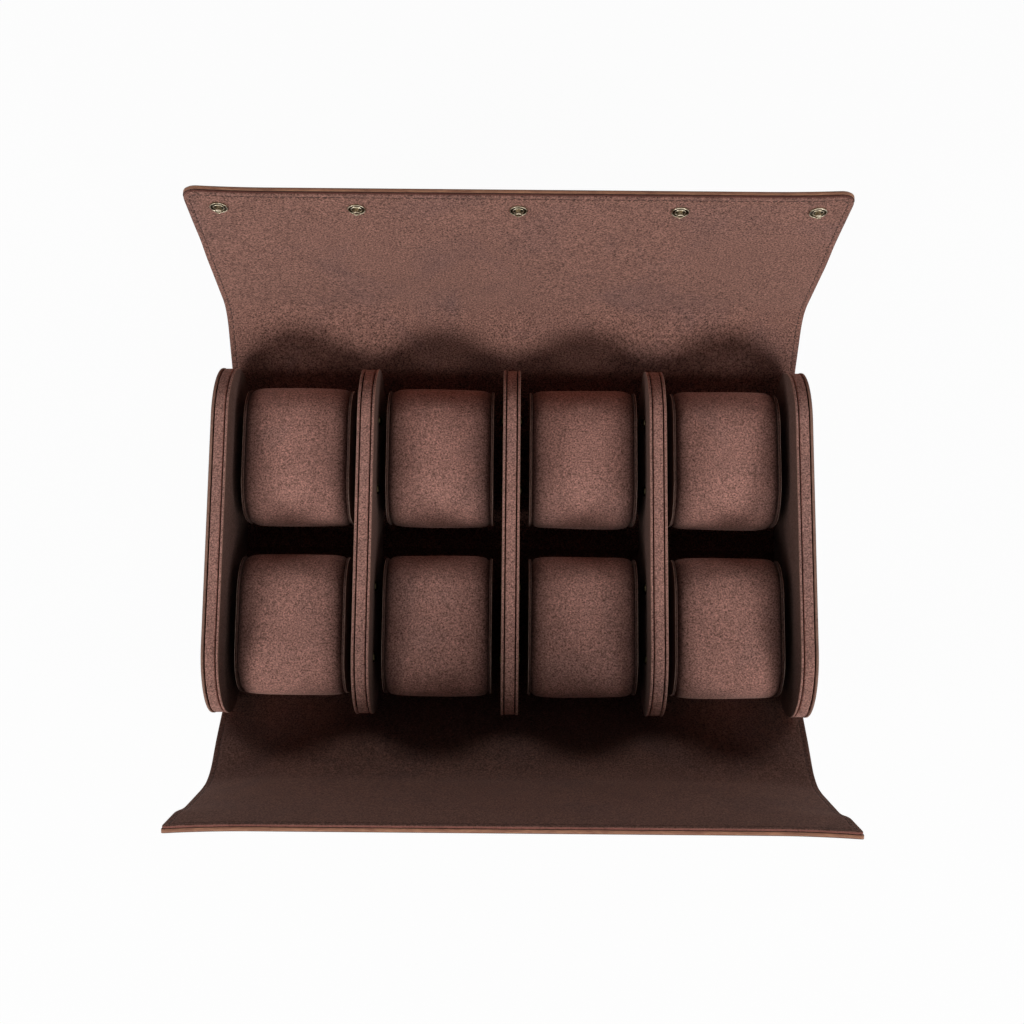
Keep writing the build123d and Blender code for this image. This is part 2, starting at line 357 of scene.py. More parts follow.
@dataclass(frozen=True)
class Leather:
    """Waxed leather with a pebbled grain and a worn, lighter crest on each pebble."""

    name: str
    pattern: Pattern
    deep: Colour = (62, 40, 32)
    worn: Colour = (92, 60, 47)

    def material(self) -> Finish:
        """Build the material."""
        make = Shader(self.name, self.pattern)
        cloud = make.spread(make.grain(22, 4, 0.6, 0.6), 0.32, 0.68)
        pebble = make.pebbles(1150)
        valley = make.spread(pebble, 0.0, 0.12, 0.72, 1.06)
        fine = make.spread(make.grain(2400, 3, 0.6), 0.3, 0.7, 0.92, 1.08)
        colour = make.scaled(make.between(cloud, self.deep, self.worn), valley, fine)
        relief = make.relief(make.spread(pebble, 0.0, 0.3), 0.00022, 0.5)
        relief = make.relief(make.grain(260, 3, 0.5), 0.0004, 0.25, relief)
        relief = make.relief(make.grain(3000, 2, 0.5), 0.00006, 0.3, relief)
        return make.surface(Base_Color=colour, Normal=relief, Specular_IOR_Level=0.3,
                            Roughness=make.spread(cloud, 0.0, 1.0, 0.52, 0.66),
                            Coat_Weight=0.04, Coat_Roughness=0.45)


@dataclass(frozen=True)
class CutEdge:
    """Burnished cut edge, with the fibres of the hide showing in it."""

    name: str
    pattern: Pattern
    light: Colour = (184, 132, 102)
    dark: Colour = (140, 92, 72)

    def material(self) -> Finish:
        """Build the material."""
        make = Shader(self.name, self.pattern)
        fibre = make.grain(900, 4, 0.65, 0.4, (0.25, 0.25, 1.6))
        colour = make.between(make.spread(fibre, 0.34, 0.66), self.dark, self.light)
        wear = make.spread(make.grain(70, 3, 0.6), 0.32, 0.68, 0.82, 1.12)
        return make.surface(Base_Color=make.scaled(colour, wear), Roughness=0.58,
                            Normal=make.relief(fibre, 0.0001, 0.4), Specular_IOR_Level=0.35)


@dataclass(frozen=True)
class Thread:
    """Waxed thread, with the twist of its plies."""

    name: str
    pattern: Pattern
    dark: Colour = (64, 42, 36)
    light: Colour = (80, 52.5, 45)

    def material(self) -> Finish:
        """Build the material."""
        make = Shader(self.name, self.pattern)
        ply = make.grain(3200, 2, 0.5, 0.0, (1, 0.4, 1))
        tone = make.between(make.spread(make.grain(120, 2), 0.3, 0.7), self.dark, self.light)
        colour = make.scaled(tone, make.spread(ply, 0.3, 0.7, 0.7, 1.35))
        return make.surface(Base_Color=colour, Normal=make.relief(ply, 0.00012, 0.6),
                            Roughness=0.62, Specular_IOR_Level=0.35)


@dataclass(frozen=True)
class Brass:
    """Antique brass with a patina that varies at random, lightly scratched; its darker copy
    paints the shade in the hollows.
    """

    name: str
    bright: Colour = (208, 196, 174)
    aged: Colour = (130, 118, 96)

    def material(self) -> Finish:
        """Build the material."""
        make = Shader(self.name)
        patina = make.spread(make.grain(520, 4, 0.65, 0.5), 0.36, 0.64)
        wear = make.spread(make.grain(1400, 3, 0.6), 0.3, 0.7, 0.24, 0.42)
        scratch = make.relief(make.grain(2600, 3, 0.7, 0, (1, 0.2, 1)), 0.00005, 0.25)
        return make.surface(Base_Color=make.between(patina, self.aged, self.bright),
                            Roughness=wear, Normal=scratch, Metallic=1.0)


@dataclass(frozen=True)
class Board:
    """Pressed board that shows only in a groove, coloured dark as painted shade there: dull and
    slightly fibrous.
    """

    name: str
    light: Colour = (46, 33, 28)
    dark: Colour = (28, 20, 17)

    def material(self) -> Finish:
        """Build the material."""
        make = Shader(self.name)
        fibre = make.grain(700, 4, 0.6, 0.3, (1, 0.3, 1))
        colour = make.between(make.spread(fibre, 0.35, 0.65), self.dark, self.light)
        return make.surface(Base_Color=colour, Normal=make.relief(fibre, 0.0002, 0.4),
                            Roughness=0.95, Specular_IOR_Level=0.15)


class Finishes:
    """Every material of the case, built once."""

    def __init__(self) -> None:
        """Build them all."""
        cut, placed = Pattern.AS_CUT, Pattern.IN_PLACE
        self.lining = Suede("suede_lining", cut, speckle=1.1).material()
        # Painted shade: a darker copy of the lining for the front flap, whose inner face lies in
        # shade.
        self.front_lining = Suede("suede_lining_front", cut, (118, 86, 76),
                                  (101, 76, 71)).material()
        self.lining_edge = Suede("suede_lining_edge", cut, (140, 90, 80), (112, 66, 58),
                                 0.25).material()
        self.leather = Leather("outer_leather", cut).material()
        self.leather_edge = CutEdge("leather_cut_edge", cut).material()
        self.panel_leather = Leather("panel_leather", placed).material()
        # Painted shade: a darker copy of the suede for the panels' faces and the pillow caps,
        # which lie in shade between the pillows.
        self.panel = Suede("panel_suede", placed, (88, 64, 57), (79, 59, 55),
                           shift=0.4).material()
        # Painted light: a lighter copy of the suede for the bands and the panels' rims, which
        # face up into the light.
        self.band = Suede("panel_suede_band", placed, (177, 131, 119), (160, 122, 114),
                          shift=0.2).material()
        # Painted highlight: a light suede for the arrises of the panels' faces and the rims of
        # the ends' leather faces.
        self.panel_rim = Suede("panel_suede_rim", placed, (168, 130, 114), (144, 108, 96),
                               0.2, 0.1).material()
        # Painted light: a lighter copy of the lining suede, standing in for the light on the
        # pillow tops.
        self.pillow = Suede("pillow_suede", placed, (179, 131, 119), (164, 124, 115),
                            shift=0.9, painted_seam_shade=0.75).material()
        # Painted highlight: a pale suede for the arris of each pillow cap.
        self.pillow_rim = Suede("pillow_suede_rim", placed, (232, 204, 188), (208, 178, 162),
                                0.2, 0.1).material()
        self.thread = Thread("waxed_thread", cut).material()
        self.brass = Brass("antique_brass").material()
        # Painted shade: a darker copy of the brass for the stud grooves and the rivet heads.
        self.brass_dark = Brass("antique_brass_dark", (84, 74, 52), (30, 26, 18)).material()
        self.board = Board("panel_board").material()


# Modelling


class Bench:
    """Modelling by operators: primitives, selections by place or normal, modifiers applied."""

    @staticmethod
    def clear() -> None:
        """Leave edit mode and deselect everything."""
        if bpy.context.object is not None and bpy.context.object.mode != "OBJECT":
            bpy.ops.object.mode_set(mode="OBJECT")
        bpy.ops.object.select_all(action="DESELECT")

    @classmethod
    def take(cls, *pieces: Piece) -> None:
        """Select only these pieces and make the first the active one.

        Args:
            pieces: The pieces.
        """
        cls.clear()
        for piece in pieces:
            piece.select_set(True)
        bpy.context.view_layer.objects.active = pieces[0]

    @classmethod
    def edit(cls, piece: Piece) -> None:
        """Open a piece in edit mode with all of it selected.

        Args:
            piece: The piece.
        """
        cls.take(piece)
        bpy.ops.object.mode_set(mode="EDIT")
        bpy.ops.mesh.select_mode(type="VERT")
        bpy.ops.mesh.select_all(action="SELECT")

    @classmethod
    def plane(cls, name: str, centre: Sequence[float], size: Sequence[float],
              turn: Sequence[float] = (0, 0, 0)) -> Piece:
        """Add a rectangle.

        Args:
            name: The piece's name.
            centre: Its middle.
            size: Its width and length.
            turn: Its rotation about X, Y and Z.

        Returns:
            The piece, its place in its mesh.
        """
        cls.clear()
        bpy.ops.mesh.primitive_plane_add(size=1, location=centre, rotation=turn)
        piece = bpy.context.active_object
        piece.name = piece.data.name = name
        piece.scale = (size[0], size[1], 1)
        cls.take(piece)
        bpy.ops.object.transform_apply(location=True, rotation=True, scale=True)
        return piece

    @classmethod
    def outline(cls, name: str, centre: Sequence[float], size: Sequence[float],
                corner: float, steps: int) -> Piece:
        """Model a rectangle with round corners, seen along X.

        Args:
            name: The piece's name.
            centre: Its middle.
            size: Its height and length.
            corner: Radius of its corners.
            steps: How many steps each corner has.

        Returns:
            The face, left open in edit mode and selected.
        """
        piece = cls.plane(name, centre, size, (0, math.pi / 2, 0))
        cls.edit(piece)
        bpy.ops.mesh.bevel(offset_type="OFFSET", offset=corner, segments=steps, profile=0.5,
                           affect="VERTICES")
        bpy.ops.mesh.select_all(action="SELECT")
        return piece

    @classmethod
    def slab(cls, piece: Piece, back: float, front: float, rims: Sequence[tuple[float, int]],
             insets: Sequence[float]) -> None:
        """Raise an outline to a slab whose rims are round.

        Args:
            piece: The outline, open in edit mode at the X of the slab's back.
            back: X of its back.
            front: X of its shown face.
            rims: Width and steps of the round at its front and at its back.
            insets: Widths of the rings laid inside the front, from the outside inwards.
        """
        bpy.ops.mesh.extrude_region_move(TRANSFORM_OT_translate={"value": (front - back, 0, 0)})
        cls.outward(piece)
        for x, (width, steps) in zip((front, back), rims):
            cls.pick(piece, Element.EDGE,
                     lambda a, b: max(abs(a.x - x), abs(b.x - x)) < SAME_PLACE)
            bpy.ops.mesh.bevel(offset=width, segments=steps, profile=0.5, affect="EDGES")
        looks = 1 if front > back else -1
        for inset in insets:
            cls.pick(piece, Element.FACE, lambda centre, normal: normal.x * looks > 0.99)
            bpy.ops.mesh.inset(thickness=inset, depth=0, use_even_offset=True)
        bpy.ops.object.mode_set(mode="OBJECT")

    @classmethod
    def pick(cls, piece: Piece, element: Element, test: Test) -> None:
        """Select the faces or edges that pass a test, in edit mode.

        Args:
            piece: The piece.
            element: Whether faces or edges are picked.
            test: Takes a face's middle and normal, or the places of an edge's two ends.
        """
        cls.edit(piece)
        bpy.ops.mesh.select_mode(type=element.value)
        bpy.ops.mesh.select_all(action="DESELECT")
        bpy.ops.object.mode_set(mode="OBJECT")
        mesh = piece.data
        if element is Element.FACE:
            for face in mesh.polygons:
                face.select = test(face.center, face.normal)
        else:
            for edge in mesh.edges:
                edge.select = test(*(mesh.vertices[i].co for i in edge.vertices))
        bpy.ops.object.mode_set(mode="EDIT")

    @staticmethod
    def mark(piece: Piece, slot: int, test: Test) -> None:
        """Give faces another material slot.

        Args:
            piece: The piece.
            slot: The slot's number.
            test: Takes a face's middle and normal, and is true where the slot changes.
        """
        for face in piece.data.polygons:
            if test(face.center, face.normal):
                face.material_index = slot

    @staticmethod
    def carry(piece: Piece, name: str, values: np.ndarray) -> None:
        """Let a piece's points carry a value or a place for its materials to read.

        Args:
            piece: The piece.
            name: The attribute's name.
            values: One value, or one row of three, for each point.
        """
        kind, key = ("FLOAT", "value") if values.ndim == 1 else ("FLOAT_VECTOR", "vector")
        held = piece.data.attributes.new(name, kind, "POINT")
        held.data.foreach_set(key, values.astype(np.float32).ravel())

    @classmethod
    def outward(cls, piece: Piece) -> None:
        """Merge doubled points and turn all faces outwards.

        Args:
            piece: The piece.
        """
        cls.edit(piece)
        bpy.ops.mesh.remove_doubles(threshold=SAME_PLACE)
        bpy.ops.mesh.normals_make_consistent(inside=False)
        bpy.ops.object.mode_set(mode="OBJECT")

    @classmethod
    def smooth(cls, piece: Piece, degrees: float) -> None:
        """Shade a piece smooth, with edges sharper than this angle kept."""
        cls.take(piece)
        bpy.ops.object.shade_smooth_by_angle(angle=math.radians(degrees))

    @classmethod
    def finish_with(cls, piece: Piece, kind: str, **settings: object) -> None:
        """Add a modifier and apply it.

        Args:
            piece: The piece.
            kind: The modifier's type.
            settings: Its settings.
        """
        cls.take(piece)
        modifier = piece.modifiers.new("finish", kind)
        for key, value in settings.items():
            setattr(modifier, key, value)
        bpy.ops.object.modifier_apply(modifier=modifier.name)

    @classmethod
    def join(cls, name: str, pieces: Sequence[Piece]) -> Piece:
        """Join pieces into one.

        Args:
            name: The joined piece's name.
            pieces: The pieces, of which the first stays.

        Returns:
            The joined piece.
        """
        cls.take(*pieces)
        bpy.ops.object.join()
        pieces[0].name = pieces[0].data.name = name
        return pieces[0]

    @staticmethod
    def copy(piece: Piece, name: str, move: Matrix) -> Piece:
        """Copy a piece with its own mesh and carry the mesh to its place.

        Args:
            piece: The piece.
            name: The copy's name.
            move: Where the mesh goes.

        Returns:
            The copy.
        """
        made = piece.copy()
        made.data = piece.data.copy()
        made.name = made.data.name = name
        bpy.context.scene.collection.objects.link(made)
        made.data.transform(move)
        return made

    @classmethod
    def remove(cls, *pieces: Piece) -> None:
        """Delete pieces that were only patterns for copies.

        Args:
            pieces: The pieces.
        """
        cls.clear()
        for piece in pieces:
            bpy.data.objects.remove(piece, do_unlink=True)

    @staticmethod
    def from_points(name: str, points: np.ndarray, faces: Sequence[Sequence[int]]) -> Piece:
        """Make a sheet's or pad's mesh from its points and faces.

        Args:
            name: The piece's name.
            points: The points, one to a row.
            faces: The corners of each face.

        Returns:
            The piece.
        """
        mesh = bpy.data.meshes.new(name)
        mesh.from_pydata(points.tolist(), [], faces)
        piece = bpy.data.objects.new(name, mesh)
        bpy.context.scene.collection.objects.link(piece)
        return piece

    @classmethod
    def turned(cls, name: str, profile: Sequence[tuple[float, float]], steps: int,
               ease: float = 0.0) -> Piece:
        """Draw a profile point by point and spin it about the Z axis.

        Args:
            name: The piece's name.
            profile: Radius and height pairs in millimetres, a closed line if its ends meet
                or lie on the axis.
            steps: How many steps there are in the full turn.
            ease: How far corners are rounded, in millimetres.

        Returns:
            The piece, about the Z axis at the origin.
        """
        piece = cls.plane(name, (0, 0, 0), (MM, MM))
        cls.edit(piece)
        bpy.ops.mesh.merge(type="CENTER")
        here = (0.0, 0.0)
        for number, (radius, height) in enumerate(profile):
            step = ((radius - here[0]) * MM, 0, (height - here[1]) * MM)
            if number == 0:
                bpy.ops.transform.translate(value=step)
            else:
                bpy.ops.mesh.extrude_vertices_move(TRANSFORM_OT_translate={"value": step})
            here = (radius, height)
        bpy.ops.mesh.select_all(action="SELECT")
        bpy.ops.mesh.spin(steps=steps, angle=2 * math.pi, center=(0, 0, 0), axis=(0, 0, 1))
        cls.outward(piece)
        if ease:
            cls.finish_with(piece, "BEVEL", width=ease * MM, segments=2,
                            limit_method="ANGLE", angle_limit=math.radians(35))
        cls.smooth(piece, 40)
        return piece


def dress(piece: Piece, *materials: Finish) -> None:
    """Give a piece its materials, in the order of its slots.

    Args:
        piece: The piece.
        materials: Its materials.
    """
    slots = piece.data.materials
    while len(slots) < len(materials):
        slots.append(None)
    for number, material in enumerate(materials):
        slots[number] = material


@dataclass
class Assembly:
    """A sub-assembly: its finishes and the pieces that it has built."""

    finishes: Finishes
    pieces: list[Piece] = field(default_factory=list)

    def keep(self, piece: Piece, body: str, slot: str, *nodes: str) -> None:
        """Keep a finished piece that moves with one body.

        Args:
            piece: The piece.
            body: The body that it rides on.
            slot: The record's material slot that it takes its finish from; not used.
            nodes: The frame's nodes that it stands for.
        """
        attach(piece, body)
        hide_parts(*nodes)
        self.pieces.append(piece)


# The wrap


def ramp(value: float, start: float, end: float) -> float:
    """Rise smoothly from 0 at the start to 1 at the end."""
    share = min(max((value - start) / (end - start), 0), 1)
    return share * share * (3 - 2 * share)


@dataclass(frozen=True)
class WrapLine:
    """The line where leather and lining meet, from the case's middle to one free edge.

    Runs and offsets are in metres, a run measured along the line, and an offset from it
    towards the lining's side.
    """

    side: Side
    straight: float
    bend: float
    length: float
    creases: tuple[float, float, float]
    corner: float
    drift: tuple[float, float]
    curl: tuple[float, float]
    flat: float = 50 * MM
    arc_height: float = 31.1 * MM
    arc_radius: float = 29.4 * MM
    departure: float = math.radians(40)
    bend_radius: float = 30 * MM
    curl_width: float = 35 * MM
    curl_grows: tuple[float, float] = (22 * MM, 66 * MM)
    curl_changes: tuple[float, float] = (92 * MM, 113 * MM)
    drift_start: float = 20 * MM

    @property
    def root(self) -> float:
        """Run at which the flap leaves the panels."""
        return self.flat + self.arc_radius * self.departure

    @property
    def tip(self) -> float:
        """Run of the free edge."""
        return self.root + self.length

    def lean(self, run: float) -> float:
        """Angle of the line above the horizontal at a run.

        Args:
            run: Distance along the line.

        Returns:
            The angle.
        """
        if run <= self.flat:
            return 0.0
        if run <= self.root:
            return (run - self.flat) / self.arc_radius
        bent = min(max(run - self.root - self.straight, 0), self.bend)
        return self.departure + bent / self.bend_radius

    def point(self, run: float, offset: float) -> tuple[float, float]:
        """Y and Z at a run and an offset.

        Args:
            run: Distance along the line.
            offset: Distance to the lining's side of it.

        Returns:
            Y and Z.
        """
        lean = self.lean(run)
        turned = min(lean, self.departure)
        y = min(run, self.flat) + self.arc_radius * math.sin(turned)
        z = self.arc_height - self.arc_radius * math.cos(turned)
        along = max(run - self.root, 0)
        rise = min(along, self.straight)
        rest = max(along - self.straight - self.bend, 0)
        bend_y = self.bend_radius * (math.sin(lean) - math.sin(turned))
        bend_z = self.bend_radius * (math.cos(turned) - math.cos(lean))
        y += rise * math.cos(turned) + bend_y + rest * math.cos(lean) - offset * math.sin(lean)
        z += rise * math.sin(turned) + bend_z + rest * math.sin(lean) + offset * math.cos(lean)
        return self.side.value * y, z

    def lift(self, x: float, run: float) -> float:
        """How far the sheet curls outwards near its side edges, at an X and a run.

        Args:
            x: Distance from the middle, across the sheet.
            run: Distance along the line.

        Returns:
            The distance from the line.
        """
        across = max(abs(x) - (HALF_WIDTH - self.curl_width), 0) / self.curl_width
        along = run - self.root
        low, high = self.curl
        most = low + (high - low) * ramp(along, *self.curl_changes)
        return across ** 2 * ramp(along, *self.curl_grows) * most

    def place(self, x: float, run: float, offset: float) -> Vector:
        """The point of space at an X, a run and an offset.

        The sheet lies a little askew on the panels, and its free corners curl outwards.

        Args:
            x: Distance from the middle, across the sheet.
            run: Distance along the line.
            offset: Distance to the lining's side of the line.

        Returns:
            The point.
        """
        start, end = self.drift
        settled = ramp(run, self.drift_start, self.root)
        aside = settled * (start + (end - start) * max(run - self.root, 0) / self.length)
        return Vector((x + aside, *self.point(run, offset - self.lift(x, run))))

    def lie(self, x: float, run: float) -> Matrix:
        """How the sheet lies at an X and a run.

        Args:
            x: Distance from the middle, across the sheet.
            run: Distance along the line.

        Returns:
            A turn whose columns are across the sheet, onward along the line and out of
            the lining's side.
        """
        step = 0.2 * MM
        across = (self.place(x + step, run, 0) - self.place(x - step, run, 0)).normalized()
        onward = (self.place(x, run + step, 0) - self.place(x, run - step, 0)).normalized()
        facing = across.cross(onward) * self.side.value
        facing.normalize()
        return Matrix((across, onward, facing)).transposed()

    def onward(self, run: float) -> Vector:
        """Direction of the line at a run."""
        lean = self.lean(run)
        return Vector((0, self.side.value * math.cos(lean), math.sin(lean)))


REAR_LINE = WrapLine(side=Side.REAR, straight=36.52 * MM, bend=21.4675 * MM,
                     length=149.1704 * MM, creases=(9.5 * MM, 27.8 * MM, 66.9876 * MM),
                     corner=6.5 * MM, drift=(0.4 * MM, 2.0 * MM), curl=(0.0, 1.0 * MM))
FRONT_LINE = WrapLine(side=Side.FRONT, straight=36.8754 * MM, bend=20.4204 * MM,
                      length=131.3522 * MM, creases=(9.5 * MM, 27.8 * MM, 66.2958 * MM),
                      corner=1.2 * MM, drift=(1.5 * MM, 1.7 * MM), curl=(3.5 * MM, 1.1 * MM))


@dataclass(frozen=True)
class Cut:
    """The cut outline of one layer on one side, and the shape of its surface.

    The two layers wave together, the shown face is rolled at the cut edge and drawn in
    along the line of stitches.
    """

    line: WrapLine
    layer: Layer
    stitch_margin: float = 2.6 * MM
    stitch_sink: float = 0.28 * MM
    sink_width: float = 0.45 * MM
    lining_inset: float = 0.3 * MM
    roll: tuple[float, float] = (0.4 * MM, 0.3 * MM)
    wave: float = 0.42 * MM
    wave_run: float = 140 * MM
    hidden_roll: float = 0.3
    columns_between: int = 112
    row_step: float = 2.1 * MM

    @property
    def inset(self) -> float:
        """How far this layer stays inside the cut outline."""
        return self.lining_inset if self.layer is Layer.LINING else 0.0

    @property
    def half(self) -> float:
        """Half the width of this layer."""
        return HALF_WIDTH - self.inset

    @property
    def end(self) -> float:
        """Run of this layer's free edge."""
        return self.line.tip - self.inset

    @property
    def margin(self) -> float:
        """How far inside this layer's edge the stitches lie."""
        return self.stitch_margin - self.inset

    def half_at(self, run: float) -> float:
        """Half the width at a run, less where the corner is round.

        Args:
            run: Distance along the line.

        Returns:
            Half the width.
        """
        back = max(self.end - run, 0)
        corner = self.line.corner
        if back >= corner:
            return self.half
        return self.half - corner + math.sqrt(max(corner ** 2 - (corner - back) ** 2, 0))

    def inside(self, x: float, run: float) -> float:
        """How far a point lies inside the cut edge.

        Args:
            x: Distance from the middle, across the sheet.
            run: Distance along the line.

        Returns:
            The distance from the cut edge, none beyond it.
        """
        across = self.half - abs(x)
        back = self.end - run
        corner = self.line.corner
        if across < corner and back < corner:
            return max(corner - math.hypot(corner - across, corner - back), 0)
        return max(min(across, back), 0)

    def waving(self, x: float, run: float) -> float:
        """Height of the sheet's slow wave, none under the panels and at the snaps.

        Args:
            x: Distance from the middle, across the sheet.
            run: Distance along the line.

        Returns:
            The height.
        """
        along = run - self.line.root
        grow = min(max((along - 6 * MM) / (24 * MM), 0), 1)
        calm = min(max((self.line.tip - 22 * MM - run) / (18 * MM), 0), 1)
        turn = self.line.side.value
        u = x / HALF_WIDTH
        v = along / self.wave_run
        wave = 0.5 * math.sin(5.1 * u + 3.3 * v + turn) + 0.3 * math.sin(9.7 * u - 5.9 * v)
        wave += 0.2 * math.sin(17 * u + 11 * v * turn + 2)
        return self.wave * wave * grow * calm

    def height(self, x: float, run: float, shown: bool) -> float:
        """Offset of the shown or the hidden face at a point.

        Args:
            x: Distance from the middle, across the sheet.
            run: Distance along the line.
            shown: Whether it is the shown face.

        Returns:
            The offset.
        """
        lining = self.layer is Layer.LINING
        inside = self.inside(x, run)
        roll = self.roll[0 if lining else 1]
        dip = roll - math.sqrt(max(roll ** 2 - max(roll - inside, 0) ** 2, 0))
        if shown:
            dip += self.stitch_sink * math.exp(-((inside - self.margin) / self.sink_width) ** 2)
        else:
            dip *= self.hidden_roll
        if shown == lining:
            level = (LINING_THICKNESS if lining else 0.0) - dip
        else:
            level = (0.0 if lining else -LEATHER_THICKNESS) + dip
        return level + self.waving(x, run)

    def edge_steps(self) -> list[float]:
        """Distances from the cut edge at which the mesh has a line of points."""
        seam = self.margin / MM
        near = [0, 0.06, 0.18, 0.4, 0.8]
        near += [seam + step for step in (-0.75, -0.4, -0.18, 0, 0.18, 0.4, 0.75, 1.6)]
        return [step * MM for step in near + [5.5, 7.5]]

    def columns(self, run: float) -> list[float]:
        """X of each line of points at a run.

        Args:
            run: Distance along the line.

        Returns:
            The places across the sheet.
        """
        half = self.half_at(run)
        left = [step - half for step in self.edge_steps()]
        count = self.columns_between
        middle = [-left[-1] * (2 * i / count - 1) for i in range(1, count)]
        return left + middle + [-x for x in reversed(left)]

    def rows(self, start: float, end: float) -> list[float]:
        """Runs of the rows of points between two runs, close together near the free edge.

        Args:
            start: Run at which they start.
            end: Run at which they end.

        Returns:
            The runs.
        """
        steps = self.edge_steps()
        free = end >= self.end
        plain_end = self.end - steps[-1] if free else end
        count = max(round((plain_end - start) / self.row_step), 2)
        rows = [start + (plain_end - start) * i / count for i in range(count + 1)]
        return rows + [self.end - step for step in reversed(steps[:-1])] if free else rows

    def mesh(self, name: str, start: float, end: float) -> Piece:
        """Build a stretch of the layer as a closed shell.

        Args:
            name: The piece's name.
            start: Run at which it starts.
            end: Run at which it ends, the free edge or a seam.

        Returns:
            The piece, its cut edge in its second material slot.
        """
        rows = self.rows(start, end)
        points: list[Vector] = []
        cut: list[tuple[float, float, float]] = []
        for shown in (True, False):
            for run in rows:
                for x in self.columns(run):
                    offset = self.height(x, run, shown)
                    points.append(self.line.place(x, run, offset))
                    cut.append((x, run * self.line.side.value, offset))
        far = len(points) // 2
        wide = far // len(rows)
        last = far - wide
        grid = [(r + c, r + c + 1, r + wide + c + 1, r + wide + c)
                for r in range(0, last, wide) for c in range(wide - 1)]
        faces = grid + [tuple(i + far for i in reversed(face)) for face in grid]
        faces += [(c + 1, c, far + c, far + c + 1) for c in range(wide - 1)]
        uncut = len(faces)
        faces += [(c, c + 1, far + c + 1, far + c) for c in range(last, far - 1)]
        if end < self.end:
            uncut = len(faces)
        for r in range(0, last, wide):
            for near, away in ((r, r + wide), (r + 2 * wide - 1, r + wide - 1)):
                faces.append((near, away, far + away, far + near))
        piece = Bench.from_points(name, np.array(points), faces)
        Bench.carry(piece, "as_cut", np.array(cut))
        for _ in range(2):
            piece.data.materials.append(None)
        edge = [0] * uncut + [1] * (len(faces) - uncut)
        piece.data.polygons.foreach_set("material_index", edge)
        Bench.outward(piece)
        Bench.smooth(piece, 50)
        return piece


@dataclass(frozen=True)
class Stretch:
    """A stretch of one layer of the wrap, with the run of its crease."""

    word: str
    start: float
    end: float
    crease: float
    bodies: tuple[str, ...]
    nodes: tuple[str, ...]


